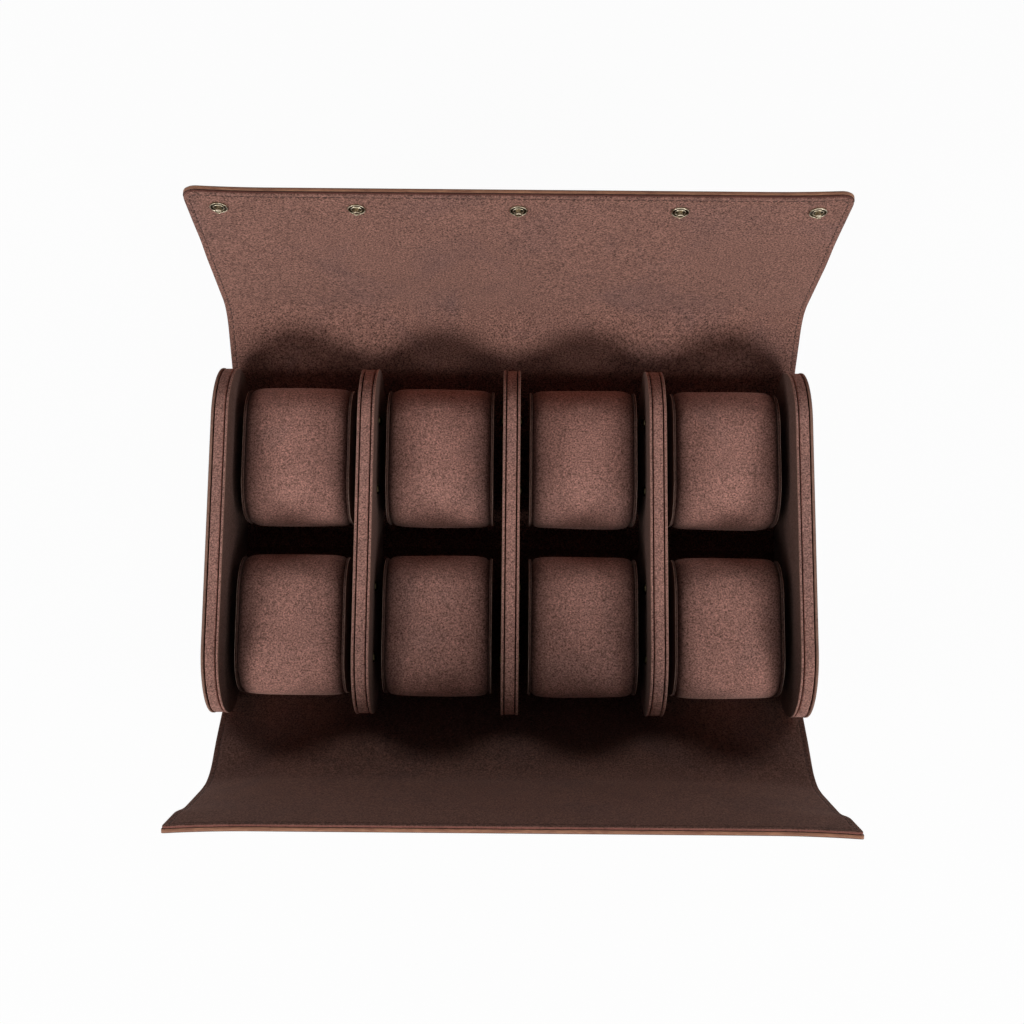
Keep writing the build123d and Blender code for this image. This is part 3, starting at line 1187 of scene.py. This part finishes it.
@dataclass
class Wrap(Assembly):
    """The leather wrap and its suede lining, in stretches."""

    lines: tuple[WrapLine, WrapLine] = (REAR_LINE, FRONT_LINE)
    seams: tuple[float, float] = (18.65 * MM, 40 * MM)
    crease_reach: float = 8.3 * MM
    stitch_pitch: float = 2.7 * MM
    stitch_length: float = 2.45 * MM
    stitch_width: float = 0.46 * MM
    stitch_slant: float = 0.12
    stitch_lift: float = 0.1 * MM

    def stretches(self, cut: Cut) -> list[Stretch]:
        """Cut one layer of one side into its three stretches.

        Args:
            cut: The layer's cut.

        Returns:
            The stretches, from the middle of the case outwards.
        """
        line, layer = cut.line, cut.layer.word
        flaps = [f"{line.side.word}_flap_{part}" for part in ("lower", "middle", "upper")]
        bodies = ["case", *flaps]
        nodes = [f"wrap_base_{layer}"] + [f"{flap}_{layer}" for flap in flaps]
        runs = [0.0] + [line.root + seam for seam in self.seams] + [line.tip]
        return [Stretch(f"{line.side.word}_{word}_{layer}", runs[i], runs[i + 1],
                        line.root + line.creases[i], tuple(bodies[i:i + 2]),
                        tuple(nodes[i:i + 2]))
                for i, word in enumerate(("base", "lower", "upper"))]

    def bend(self, piece: Piece, line: WrapLine, stretch: Stretch) -> None:
        """Keep a piece of a stretch, its place baked into its mesh.

        Args:
            piece: The piece.
            line: Its side's line.
            stretch: The stretch.
        """
        middle = line.place(0, stretch.crease, 0)
        reach = line.onward(stretch.crease) * self.crease_reach
        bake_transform(piece)
        self.pieces.append(piece)

    def stitch_pattern(self) -> Piece:
        """Model one stitch along Y at the origin, full in its middle and sunk at its ends."""
        Bench.clear()
        bpy.ops.mesh.primitive_uv_sphere_add(segments=8, ring_count=6, radius=1)
        piece = bpy.context.active_object
        piece.name = "stitch_pattern"
        Bench.edit(piece)
        bpy.ops.transform.resize(value=(self.stitch_width / 2, self.stitch_length / 2,
                                        self.stitch_width / 2))
        bpy.ops.object.mode_set(mode="OBJECT")
        for point in piece.data.vertices:
            if abs(point.co.y) < self.stitch_length * 0.18:
                point.co.z *= 1.08
            point.co.z -= 0.35 * self.stitch_width * (2 * point.co.y / self.stitch_length) ** 2
        return piece

    def stitch_places(self, cut: Cut) -> list[tuple[float, float, float]]:
        """Where the stitches of one layer lie on the sheet as cut.

        Args:
            cut: The layer's cut.

        Returns:
            X, run and direction of each stitch, the direction being 0 along the run.
        """
        margin = cut.stitch_margin
        half = HALF_WIDTH - margin
        end = cut.line.tip - margin
        corner = max(cut.line.corner - margin, 0)
        side = end - corner
        arc = corner * math.pi / 2
        across = 2 * (half - corner)
        total = 2 * (side + arc) + across
        count = round(total / self.stitch_pitch)
        places = []
        for number in range(count):
            s = total * (number + 0.5) / count
            mirrored = s > total / 2
            t = total - s if mirrored else s
            if t < side:
                x, run, turn = half, t, 0.0
            elif t < side + arc:
                turn = (t - side) / corner
                x = half - corner + corner * math.cos(turn)
                run = side + corner * math.sin(turn)
            else:
                x, run, turn = half - corner - (t - side - arc), end, math.pi / 2
            places.append((-x, run, -turn) if mirrored else (x, run, turn))
        return places

    def stitching(self, cut: Cut, stretch: Stretch, pattern: Piece) -> Piece:
        """Lay the stitches of one layer of a stretch.

        Args:
            cut: The layer's cut.
            stretch: The stretch.
            pattern: One stitch.

        Returns:
            The stitches as one piece.
        """
        shape = np.array([v.co for v in pattern.data.vertices])
        corners = [tuple(face.vertices) for face in pattern.data.polygons]
        points, lays, faces = [], [], []
        line, up = cut.line, cut.layer.value
        for x, run, turn in self.stitch_places(cut):
            if not stretch.start <= run < stretch.end:
                continue
            slant = turn + self.stitch_slant * (1 if x > 0 else -1)
            offset = cut.height(x, run, True) + up * self.stitch_lift
            across, onward, facing = line.lie(x, run).transposed()
            facing = facing * up
            along = onward * math.cos(slant) - across * math.sin(slant)
            turned = np.array([along.cross(facing), along, facing])
            first = len(points) * len(shape)
            points.append(shape @ turned + np.array(line.place(x, run, offset)))
            lays.append(shape + np.array((x, run * line.side.value, 0)))
            faces += [tuple(i + first for i in face) for face in corners]
        piece = Bench.from_points(f"stitching_{stretch.word}", np.vstack(points), faces)
        Bench.carry(piece, "as_cut", np.vstack(lays))
        Bench.outward(piece)
        Bench.smooth(piece, 80)
        dress(piece, self.finishes.thread)
        return piece

    def lay(self, cut: Cut, under: list[str], pattern: Piece) -> list[str]:
        """Lay one layer of one side, with its stitching.

        Args:
            cut: The layer's cut.
            under: Names of what it rests on; not used.
            pattern: One stitch.

        Returns:
            The names of its stretches.
        """
        made = self.finishes
        surface, edge, slot = made.leather, made.leather_edge, "outer_leather"
        if cut.layer is Layer.LINING:
            front = cut.line.side is Side.FRONT
            surface = made.front_lining if front else made.lining
            edge, slot = made.lining_edge, "suede_lining"
        names = []
        for stretch in self.stretches(cut):
            piece = cut.mesh(f"wrap_{stretch.word}", stretch.start, stretch.end)
            dress(piece, surface, edge)
            stitches = self.stitching(cut, stretch, pattern)
            for each in (piece, stitches):
                self.bend(each, cut.line, stretch)
            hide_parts(*stretch.nodes)
            names.append(piece.name)
        return names

    def build(self) -> None:
        """Build both layers of both sides."""
        pattern = self.stitch_pattern()
        for line in self.lines:
            outside = self.lay(Cut(line, Layer.LEATHER), ["floor"], pattern)
            self.lay(Cut(line, Layer.LINING), outside, pattern)
        Bench.remove(pattern)


# End panels and dividers


@dataclass
class Panels(Assembly):
    """Two end panels and three dividers: covered faces, and a band round the board."""

    depth: float = 156 * MM
    height: float = 57 * MM
    corner: float = 28 * MM
    corner_steps: int = 28
    middle: float = 31.6 * MM
    thickness: float = 7.6 * MM
    face: float = 1.1 * MM
    face_rims: tuple[tuple[float, int], ...] = ((0.36 * MM, 4), (0.2 * MM, 2))
    face_insets: tuple[float, ...] = (3.0 * MM, 0.12 * MM)
    groove: float = 0.6 * MM
    recess: float = 0.25 * MM
    strip: float = 1.0 * MM
    strip_round: float = 0.5 * MM
    end_x: float = 128 * MM
    divider_x: tuple[float, float, float] = (-64 * MM, 0.0, 64 * MM)
    rivet_rows: tuple[float, ...] = (-53.5, -22.0, 22.0, 53.5)
    rivet_height: float = 38.0
    arris: tuple[float, float] = (-0.92, -0.3)

    def outline(self, name: str, x: float, inset: float) -> Piece:
        """Model the outline of a panel as one face, seen along X.

        Args:
            name: The piece's name.
            x: Where it stands.
            inset: How far it is drawn in.

        Returns:
            The face, left open in edit mode and selected.
        """
        size = (self.height - 2 * inset, self.depth - 2 * inset)
        return Bench.outline(name, (x, 0, self.middle), size, self.corner - inset,
                             self.corner_steps)

    def plate(self) -> Piece:
        """Model the left covered face of a panel that stands at X = 0.

        Returns:
            The plate, with slots for its face, its arris and its rim.
        """
        end = -self.thickness / 2
        start = end + self.face
        piece = self.outline("plate_pattern", start, 0)
        Bench.slab(piece, start, end, self.face_rims, self.face_insets)
        # The face takes the darker suede of painted shade, the arris a painted highlight and the
        # rim the lighter suede of painted light.
        dress(piece, self.finishes.panel, self.finishes.panel_rim, self.finishes.band)
        low, high = self.arris
        Bench.mark(piece, 1, lambda centre, normal: low < normal.x < high)
        Bench.mark(piece, 2, lambda centre, normal: normal.x >= high)
        Bench.smooth(piece, 50)
        return piece

    def band(self) -> Piece:
        """Model the suede strip round the board of a panel that stands at X = 0."""
        half = self.thickness / 2 - self.face - self.groove
        piece = self.outline("band_pattern", -half, self.recess)
        bpy.ops.mesh.inset(thickness=self.strip, depth=0, use_even_offset=True)
        bpy.ops.mesh.delete(type="FACE")
        bpy.ops.mesh.select_all(action="SELECT")
        bpy.ops.mesh.extrude_region_move(TRANSFORM_OT_translate={"value": (2 * half, 0, 0)})
        Bench.outward(piece)
        outer = self.height / 2 - self.recess - 0.3 * self.strip

        def at_rim(a: Vector, b: Vector) -> bool:
            """Whether an edge runs along the outer rim of the strip."""
            for end in (a, b):
                beyond = max(abs(end.y) - (self.depth / 2 - self.corner), 0)
                out = math.hypot(beyond, end.z - self.middle)
                if out < outer and abs(end.z - self.middle) < outer - 0.2 * MM:
                    return False
            return abs(a.x - b.x) < SAME_PLACE

        Bench.pick(piece, Element.EDGE, at_rim)
        bpy.ops.mesh.bevel(offset=self.strip_round, segments=4, profile=0.5, affect="EDGES")
        bpy.ops.object.mode_set(mode="OBJECT")
        # The strip takes the lighter suede of painted light.
        dress(piece, self.finishes.band)
        Bench.smooth(piece, 50)
        return piece

    def rivet(self) -> Piece:
        """Model one rivet with a domed head on each side of its divider, along X."""
        seat = self.thickness / 2 / MM
        dome = [(2.2, seat - 0.02), (2.2, seat + 0.25), (2.08, seat + 0.62),
                (1.75, seat + 1.08), (1.2, seat + 1.45), (0.6, seat + 1.62), (0, seat + 1.68)]
        half = [(0.9, 0.0), (0.9, seat - 0.02)] + dome
        other = [(radius, -height) for radius, height in reversed(half[1:])]
        piece = Bench.turned("rivet_pattern", other + half, 24)
        piece.data.transform(Matrix.Rotation(math.pi / 2, 4, "Y"))
        # The rivet heads take the darker brass of painted shade.
        dress(piece, self.finishes.brass_dark)
        return piece

    def build(self) -> None:
        """Build the five panels and the rivets."""
        plate, band, rivet = self.plate(), self.band(), self.rivet()
        made = self.finishes
        names = ("left_end", "left_divider", "centre_divider", "right_divider", "right_end")
        for name, x in zip(names, (-self.end_x, *self.divider_x, self.end_x)):
            move = Matrix.Translation((x, 0, 0))
            ring = Bench.copy(band, f"{name}_strip", move)
            self.keep(ring, "case", "panel_suede", f"{name}_band")
            for turn, word in ((0.0, "left"), (math.pi, "right")):
                sheet = Bench.copy(plate, f"{name}_{word}_cover",
                                   move @ Matrix.Rotation(turn, 4, "Z"))
                if name == f"{word}_end":
                    # The rim of each end's leather face takes the painted highlight.
                    dress(sheet, made.panel_leather, made.panel_leather, made.panel_rim)
                    self.keep(sheet, "case", "outer_leather", f"{name}_outer_face")
                else:
                    node = f"{name}_inner_face" if name.endswith("end") else f"{name}_faces"
                    self.keep(sheet, "case", "panel_suede", node)
            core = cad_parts[f"{name}_core"].data.materials
            core.clear()
            core.append(made.board)
        heads = [Bench.copy(rivet, "rivet", Matrix.Translation((x, row * MM,
                                                               self.rivet_height * MM)))
                 for x in self.divider_x for row in self.rivet_rows]
        self.keep(Bench.join("divider_rivet_heads", heads), "case", "antique_brass",
                  "divider_rivets")
        Bench.remove(plate, band, rivet)


# Watch pillows


@dataclass
class Pillows(Assembly):
    """Eight crowned suede pillows, each with a thin cap at both ends."""

    width: float = 48 * MM
    length: float = 64.7 * MM
    height: float = 46 * MM
    bottom: float = 3.4 * MM
    corner: float = 20 * MM
    crown: float = 1.75 * MM
    shoulder: float = 0.7
    slack: float = 0.9 * MM
    drawn_in: float = 2.6 * MM
    # Width of the shade painted near each seam.
    painted_shade_width: float = 9 * MM
    puckered: float = 7 * MM
    pucker_height: float = 0.1 * MM
    puckers: int = 46
    voxel: float = 1.9 * MM
    seam_width: float = 1.2 * MM
    frames: int = 20
    most_swell: float = 1.1 * MM
    quick_swell: tuple[float, float, float] = (1, 1.025, 1.035)
    around: int = 72
    stations: int = 26
    cap: float = 1.2 * MM
    cap_inset: float = 0.3 * MM
    cap_steps: int = 20
    cap_rims: tuple[tuple[float, int], ...] = ((0.55 * MM, 4), (0.3 * MM, 3))
    cap_insets: tuple[float, ...] = (4 * MM, 0.12 * MM)
    rows: tuple[tuple[str, float], ...] = (("rear", 38.35 * MM), ("front", -38.35 * MM))
    columns: tuple[float, ...] = (-96 * MM, -32 * MM, 32 * MM, 96 * MM)
    filling: tuple[tuple[str, object], ...] = (
        ("quality", 6), ("mass", 0.3), ("use_pressure", True), ("uniform_pressure_force", 4.0),
        ("tension_stiffness", 18), ("compression_stiffness", 18), ("bending_stiffness", 0.6),
        ("vertex_group_mass", "seam"))

    @property
    def half(self) -> float:
        """Distance from a pillow's middle to the back of its caps."""
        return self.width / 2 - self.cap

    def section(self, inset: float) -> list[tuple[float, float]]:
        """Outline of a pillow seen along X, about its own middle.

        Args:
            inset: How far it is drawn in from the fullest section.

        Returns:
            Y and Z pairs.
        """
        half_y, half_z = self.length / 2 - inset, self.height / 2 - inset
        corner = self.corner - inset
        flat_y, flat_z = half_y - corner, half_z - corner
        arc = corner * math.pi / 2
        quarter = flat_y + arc + flat_z
        out = []
        for i in range(self.around):
            s = 4 * quarter * i / self.around
            turn, t = int(s // quarter) % 4, s % quarter
            if turn % 2:
                t = quarter - t
            if t < flat_z:
                y, z = half_y, t
            elif t < flat_z + arc:
                a = (t - flat_z) / corner
                y, z = flat_y + corner * math.cos(a), flat_z + corner * math.sin(a)
            else:
                y, z = flat_y - (t - flat_z - arc), half_z
            out.append((y if turn in (0, 3) else -y, z if turn in (0, 1) else -z))
        return out

    def shell(self) -> Piece:
        """Make the slack cover about the origin: a closed form, fullest in its middle."""
        count, last = self.around, self.around * self.stations
        points: list[tuple[float, float, float]] = []
        for station in range(self.stations + 1):
            share = math.sin(math.pi / 2 * (-1 + 2 * station / self.stations))
            fall = max(abs(share) - self.shoulder, 0) / (1 - self.shoulder)
            inset = self.slack + 0.25 * MM * share ** 2
            inset += (self.drawn_in - self.slack) * (1 - math.sqrt(max(1 - fall ** 2, 0)))
            points += [(share * self.half, y, z) for y, z in self.section(inset)]
        faces = []
        for r in range(0, last, count):
            for c in range(count):
                after = (c + 1) % count
                faces.append((r + c, r + after, r + count + after, r + count + c))
        faces += [tuple(reversed(range(count))), tuple(range(last, last + count))]
        piece = Bench.from_points("cover_pattern", np.array(points), faces)
        Bench.outward(piece)
        return piece

    def fill(self, piece: Piece) -> None:
        """Fill the slack cover by a short cloth simulation, held at its two end seams.

        Args:
            piece: The cover, about the origin.
        """
        Bench.finish_with(piece, "REMESH", mode="VOXEL", voxel_size=self.voxel,
                          use_smooth_shade=True)
        rest = np.array([v.co for v in piece.data.vertices])
        seam = piece.vertex_groups.new(name="seam")
        held = [i for i, p in enumerate(rest) if abs(p[0]) > self.half - self.seam_width]
        seam.add(held, 1.0, "ADD")
        cloth = piece.modifiers.new("filling", "CLOTH")
        for key, value in self.filling:
            setattr(cloth.settings, key, value)
        cloth.settings.effector_weights.gravity = 0
        cloth.collision_settings.use_collision = False
        scene = bpy.context.scene
        for number in range(self.frames):
            scene.frame_set(number + 1)
        shown = piece.evaluated_get(bpy.context.evaluated_depsgraph_get())
        moved = np.array([v.co for v in shown.data.vertices])
        piece.modifiers.remove(cloth)
        scene.frame_set(1)
        drift = moved - rest
        far = np.linalg.norm(drift, axis=1, keepdims=True)
        log.info("pillow filling moves points up to %.2f mm", far.max() / MM)
        drift *= np.minimum(1, self.most_swell / np.maximum(far, 1e-9))
        piece.data.vertices.foreach_set("co", (rest + drift).ravel())
        piece.data.update()
        piece.vertex_groups.clear()
        Bench.finish_with(piece, "SUBSURF", levels=1, render_levels=1)

    def settle(self, piece: Piece, seed: int) -> None:
        """Give a cover its own dents and the puckers at its seams, within its space, and the mask
        of the shade painted near its seams.

        Args:
            piece: The cover, about the origin.
            seed: Seeds what differs from pillow to pillow.
        """
        rng = random.Random(seed)
        phases = [rng.uniform(0, 6.3) for _ in range(5)]
        tilt = rng.uniform(-0.25, 0.25)
        points = piece.data.vertices
        co, normal = np.zeros(len(points) * 3), np.zeros(len(points) * 3)
        points.foreach_get("co", co)
        points.foreach_get("normal", normal)
        co, normal = co.reshape(-1, 3), normal.reshape(-1, 3)
        x = co[:, 0]
        around = np.arctan2(co[:, 2], co[:, 1])
        beyond = np.abs(x) - self.half
        edge = np.clip((beyond + self.puckered) / self.puckered, 0, 1)
        pucker = self.pucker_height * edge ** 2 * np.sin(around * self.puckers + phases[0])
        slow = np.sin(x / (8 * MM) + phases[1]) * np.sin(around * 2 + phases[2])
        slow += 0.6 * np.sin(x / (15 * MM) + phases[3] + 3 * around)
        dent = (0.16 * slow + tilt * x / self.half) * MM * (1 - edge)
        shift = np.where(np.abs(beyond) < 0.4 * MM, 0, pucker + dent)
        co += normal * shift[:, None]
        points.foreach_set("co", co.ravel())
        # Mask of the painted shade: 0 inside, rising to 1 at the seams.
        near = np.clip((np.abs(x) - self.half + self.painted_shade_width) / self.painted_shade_width, 0, 1)
        Bench.carry(piece, "painted_shade_mask", near ** 1.3)
        piece.data.update()

    def end_cap(self) -> Piece:
        """Model the right cap: a thin covered board in the darker suede of painted shade, with a
        painted highlight on its rounded rim.
        """
        inset = self.crown + self.cap_inset
        size = (self.height - 2 * inset, self.length - 2 * inset)
        piece = Bench.outline("cap_pattern", (self.half, 0, 0), size, self.corner - inset,
                              self.cap_steps)
        Bench.slab(piece, self.half, self.width / 2, self.cap_rims, self.cap_insets)
        dress(piece, self.finishes.panel, self.finishes.pillow_rim)
        # The arris faces of the cap take the painted highlight.
        Bench.mark(piece, 1, lambda centre, normal: 0.3 < normal.x < 0.9)
        Bench.smooth(piece, 50)
        return piece

    def build(self) -> None:
        """Build the eight pillows."""
        cover = self.shell()
        self.fill(cover)
        dress(cover, self.finishes.pillow)
        cap = self.end_cap()
        turn = Matrix.Rotation(math.pi, 4, "Z")
        for row, y in self.rows:
            for number, x in enumerate(self.columns, start=1):
                name = f"pillow_{row}_{number}"
                move = Matrix.Translation((x, y, self.bottom + self.height / 2))
                pad = Bench.copy(cover, f"{name}_pad", Matrix.Identity(4))
                self.settle(pad, 17 * number + (5 if row == "rear" else 0))
                pad.data.transform(move)
                Bench.smooth(pad, 60)
                ends = [Bench.copy(cap, f"{name}_ends", move),
                        Bench.copy(cap, f"{name}_end", move @ turn)]
                self.keep(pad, name, "pillow_suede", f"{name}_cover", f"{name}_foam")
                self.keep(Bench.join(f"{name}_ends", ends), name, "pillow_suede",
                          f"{name}_caps")
        Bench.remove(cover, cap)


# Snaps


@dataclass(frozen=True)
class SnapPart:
    """One of a snap's four turned parts.

    Its foot stands at an offset from the line where leather and lining meet, at a run
    beyond the flap's root. Its profile holds radius and height in millimetres.
    """

    name: str
    node: str
    line: WrapLine
    along: float
    foot: float
    looks: Layer
    profile: tuple[tuple[float, float], ...]
    steps: int = 48
    ease: float = 0.0


STUD_ALONG = 138.6704 * MM
SOCKET_ALONG = 115.2378 * MM
# A rim, a smaller ring inside it and a hollow nipple, between grooves painted dark as shade
STUD = SnapPart("snap_stud_set", "snap_studs", REAR_LINE, STUD_ALONG, LINING_THICKNESS,
                Layer.LINING,
                ((1.02, 0.0), (3.6, 0.0), (3.6, 0.5), (3.54, 0.7), (3.4, 0.8), (3.24, 0.74),
                 (3.14, 0.55), (3.06, 0.2), (2.36, 0.16), (2.28, 0.6), (2.12, 0.76),
                 (1.94, 0.68), (1.86, 0.3), (1.3, 0.3), (1.2, 0.6), (1.2, 1.55), (1.3, 1.85),
                 (1.3, 2.2), (1.22, 2.42), (1.13, 2.5), (1.02, 2.42), (1.02, 0.0)),
                ease=0.04)
# A domed button with the shank that goes through to the stud
BUTTON = SnapPart("snap_button_set", "snap_caps", REAR_LINE, STUD_ALONG, -LEATHER_THICKNESS,
                  Layer.LEATHER,
                  ((0, -5.3), (0.7, -5.25), (0.95, -5.0), (0.95, 0.0), (3.75, 0.0),
                   (3.98, 0.12), (4.0, 0.34), (3.86, 0.58), (3.5, 0.84), (2.9, 1.06),
                   (2.0, 1.24), (1.0, 1.33), (0, 1.35)))
# A rolled ring round a well with a spring in it
SOCKET = SnapPart("snap_socket_set", "snap_sockets", FRONT_LINE, SOCKET_ALONG,
                  -LEATHER_THICKNESS, Layer.LEATHER,
                  ((0.9, 0.0), (3.9, 0.0), (3.9, 1.2), (3.8, 1.55), (3.5, 1.83), (3.15, 1.9),
                   (2.7, 1.86), (2.3, 1.74), (2.0, 1.5), (1.8, 1.35), (1.8, 0.14), (0.9, 0.1),
                   (0.9, 0.0)), ease=0.04)
# A flange under the lining and a tube up to the socket
EYELET = SnapPart("snap_eyelet_set", "snap_eyelets", FRONT_LINE, SOCKET_ALONG, 0.0,
                  Layer.LEATHER,
                  ((0.5, 0.0), (2.5, 0.0), (2.6, 0.1), (2.6, 0.32), (2.5, 0.4), (0.9, 0.4),
                   (0.9, 2.0), (0.5, 2.0), (0.5, 0.0)), steps=32)


@dataclass
class Snaps(Assembly):
    """Five snaps: studs and buttons on the rear flap, sockets and eyelets on the front one."""

    places: tuple[float, ...] = (-118.5, -64.0, 0.0, 64.0, 118.5)
    parts: tuple[SnapPart, ...] = (STUD, BUTTON, SOCKET, EYELET)
    groove_height: float = 0.45 * MM
    groove_radius: float = 3.1 * MM
    spin: float = 0.7

    def in_groove(self, centre: Vector, normal: Vector) -> bool:
        """Whether a face of the stud lies in its grooves, which take the darker brass of painted
        shade.
        """
        low = centre.z < self.groove_height and normal.z > -0.5
        return low and centre.to_2d().length < self.groove_radius

    def stand(self, part: SnapPart) -> None:
        """Model a part, stand five copies of it along its flap and join them.

        Args:
            part: The part.
        """
        pattern = Bench.turned("snap_pattern", part.profile, part.steps, part.ease)
        dress(pattern, self.finishes.brass)
        if part is STUD:
            dress(pattern, self.finishes.brass, self.finishes.brass_dark)
            Bench.mark(pattern, 1, self.in_groove)
        run = part.line.root + part.along
        made = []
        for number, place in enumerate(self.places):
            right, _, up = part.line.lie(place * MM, run).transposed()
            up = up * part.looks.value
            turn = Matrix((right, up.cross(right), up)).transposed().to_4x4()
            move = Matrix.Translation(part.line.place(place * MM, run, part.foot))
            spin = Matrix.Rotation(self.spin * number, 4, "Z")
            made.append(Bench.copy(pattern, part.name, move @ turn @ spin))
        self.keep(Bench.join(part.name, made), f"{part.line.side.word}_flap_upper",
                  "antique_brass", part.node)
        Bench.remove(pattern)

    def build(self) -> None:
        """Build the studs, buttons, sockets and eyelets."""
        for part in self.parts:
            self.stand(part)


# The studio


@dataclass(frozen=True)
class LampPair:
    """Two soft lamps, one on each side of the case, at the same height.

    Angles are in degrees, the azimuth counted from straight in front.
    """

    name: str
    watts: float
    azimuth: float
    elevation: float


@dataclass
class Studio:
    """A plain pale floor, soft low light from the front and the photograph's camera."""

    eye: tuple[float, float, float] = (0.0004, -0.0855, 0.660)
    tilt: float = math.radians(8.92)
    roll: float = math.radians(0.51)
    lens: float = 49.335
    distance: float = 1.25
    aim: float = 50 * MM
    window: tuple[float, float] = (0.45, 0.25)
    pairs: tuple[LampPair, ...] = (LampPair("key", 6.5, 50, 24), LampPair("high", 1.3, 36, 48),
                                   LampPair("low", 0.45, 10, 20), LampPair("rear", 1.7, 130, 25))
    ambient: float = 0.018
    paper_white: float = 0.965
    floor_size: float = 6.0
    floor_drop: float = 0.2 * MM

    def camera(self) -> None:
        """Set up the camera where the photograph was taken."""
        data = bpy.data.cameras.new("camera")
        data.lens = self.lens
        data.sensor_width = 36
        data.clip_start = 0.01
        camera = bpy.data.objects.new("camera", data)
        bpy.context.scene.collection.objects.link(camera)
        across = Vector((1, 0, 0))
        forward = Vector((0, math.sin(self.tilt), -math.cos(self.tilt)))
        level = Vector((0, math.cos(self.tilt), math.sin(self.tilt)))
        right = across * math.cos(self.roll) + level * math.sin(self.roll)
        up = -across * math.sin(self.roll) + level * math.cos(self.roll)
        turn = Matrix((right, up, -forward)).transposed().to_4x4()
        camera.matrix_world = Matrix.Translation(self.eye) @ turn
        bpy.context.scene.camera = camera

    def hang(self, pair: LampPair) -> None:
        """Hang a pair of lamps that look at the case.

        Args:
            pair: The pair.
        """
        for side, word in ((-1, "left"), (1, "right")):
            name = f"{pair.name}_{word}"
            data = bpy.data.lights.new(name, "AREA")
            data.shape = "RECTANGLE"
            data.size, data.size_y = self.window
            data.energy = pair.watts
            lamp = bpy.data.objects.new(name, data)
            bpy.context.scene.collection.objects.link(lamp)
            azimuth = side * math.radians(pair.azimuth)
            elevation = math.radians(pair.elevation)
            out = Vector((math.sin(azimuth) * math.cos(elevation),
                          -math.cos(azimuth) * math.cos(elevation), math.sin(elevation)))
            lamp.location = out * self.distance + Vector((0, 0, self.aim))
            lamp.rotation_euler = out.to_track_quat("Z", "Y").to_euler()

    def paper(self) -> Finish:
        """White paper that looks white to the eye and still takes the case's shadow."""
        material = bpy.data.materials.new("studio_paper")
        material.use_nodes = True
        make = Nodes(material.node_tree)
        plain = make.tree.nodes["Principled BSDF"]
        plain.inputs["Base Color"].default_value = (0.8, 0.8, 0.8, 1)
        plain.inputs["Roughness"].default_value = 1.0
        plain.inputs["Specular IOR Level"].default_value = 0.0
        glow = make.add("ShaderNodeEmission", {"Strength": 1.0})
        share = make.add("ShaderNodeMath", {0: make.seen(), 1: self.paper_white},
                         operation="MULTIPLY")
        blend = make.add("ShaderNodeMixShader", {0: share.outputs[0], 1: plain.outputs[0],
                                                 2: glow.outputs[0]})
        make.feed(make.tree.nodes["Material Output"].inputs["Surface"], blend.outputs[0])
        return material

    def world(self) -> None:
        """Low even light all round, which looks white to the eye."""
        world = bpy.data.worlds.new("studio")
        bpy.context.scene.world = world
        world.use_nodes = True
        world.node_tree.nodes.clear()
        make = Nodes(world.node_tree)
        soft, white = (make.add("ShaderNodeBackground",
                                {"Color": (1, 1, 1, 1), "Strength": strength}).outputs[0]
                       for strength in (self.ambient, 1.0))
        blend = make.add("ShaderNodeMixShader", {0: make.seen(), 1: soft, 2: white})
        make.add("ShaderNodeOutputWorld", {"Surface": blend.outputs[0]})

    def build(self) -> None:
        """Build the floor, the lamps, the world and the camera."""
        floor = Bench.plane("floor", (0, 0, -self.floor_drop),
                            (self.floor_size, self.floor_size))
        dress(floor, self.paper())
        floor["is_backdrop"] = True
        for pair in self.pairs:
            self.hang(pair)
        self.world()
        self.camera()
        bpy.context.scene.view_settings.view_transform = "Standard"


def keep_sizes(before: object, after: object) -> None:
    """Turn the frame's box and the visible model's box into plain lists; nothing is kept or
    written.

    Args:
        before: The box straight after loading.
        after: The box just before the end.
    """
    def plain(box: object) -> object:
        """A box as plain lists."""
        if isinstance(box, (int, float)):
            return float(box)
        return [plain(part) for part in box]

    {"cad": plain(before), "visual": plain(after)}


def main() -> None:
    """Build the case and its studio, and report each piece."""
    logging.basicConfig(level=logging.INFO, format="%(message)s")
    finishes = Finishes()
    Bench.clear()
    for part in (Wrap(finishes), Panels(finishes), Pillows(finishes), Snaps(finishes)):
        part.build()
        for piece in part.pieces:
            log.info("%s %s: %d faces", type(part).__name__, piece.name,
                     len(piece.data.polygons))
    Studio().build()
    Bench.clear()
    keep_sizes(cad_bounds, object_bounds())


if __name__ == "__main__":
    main()
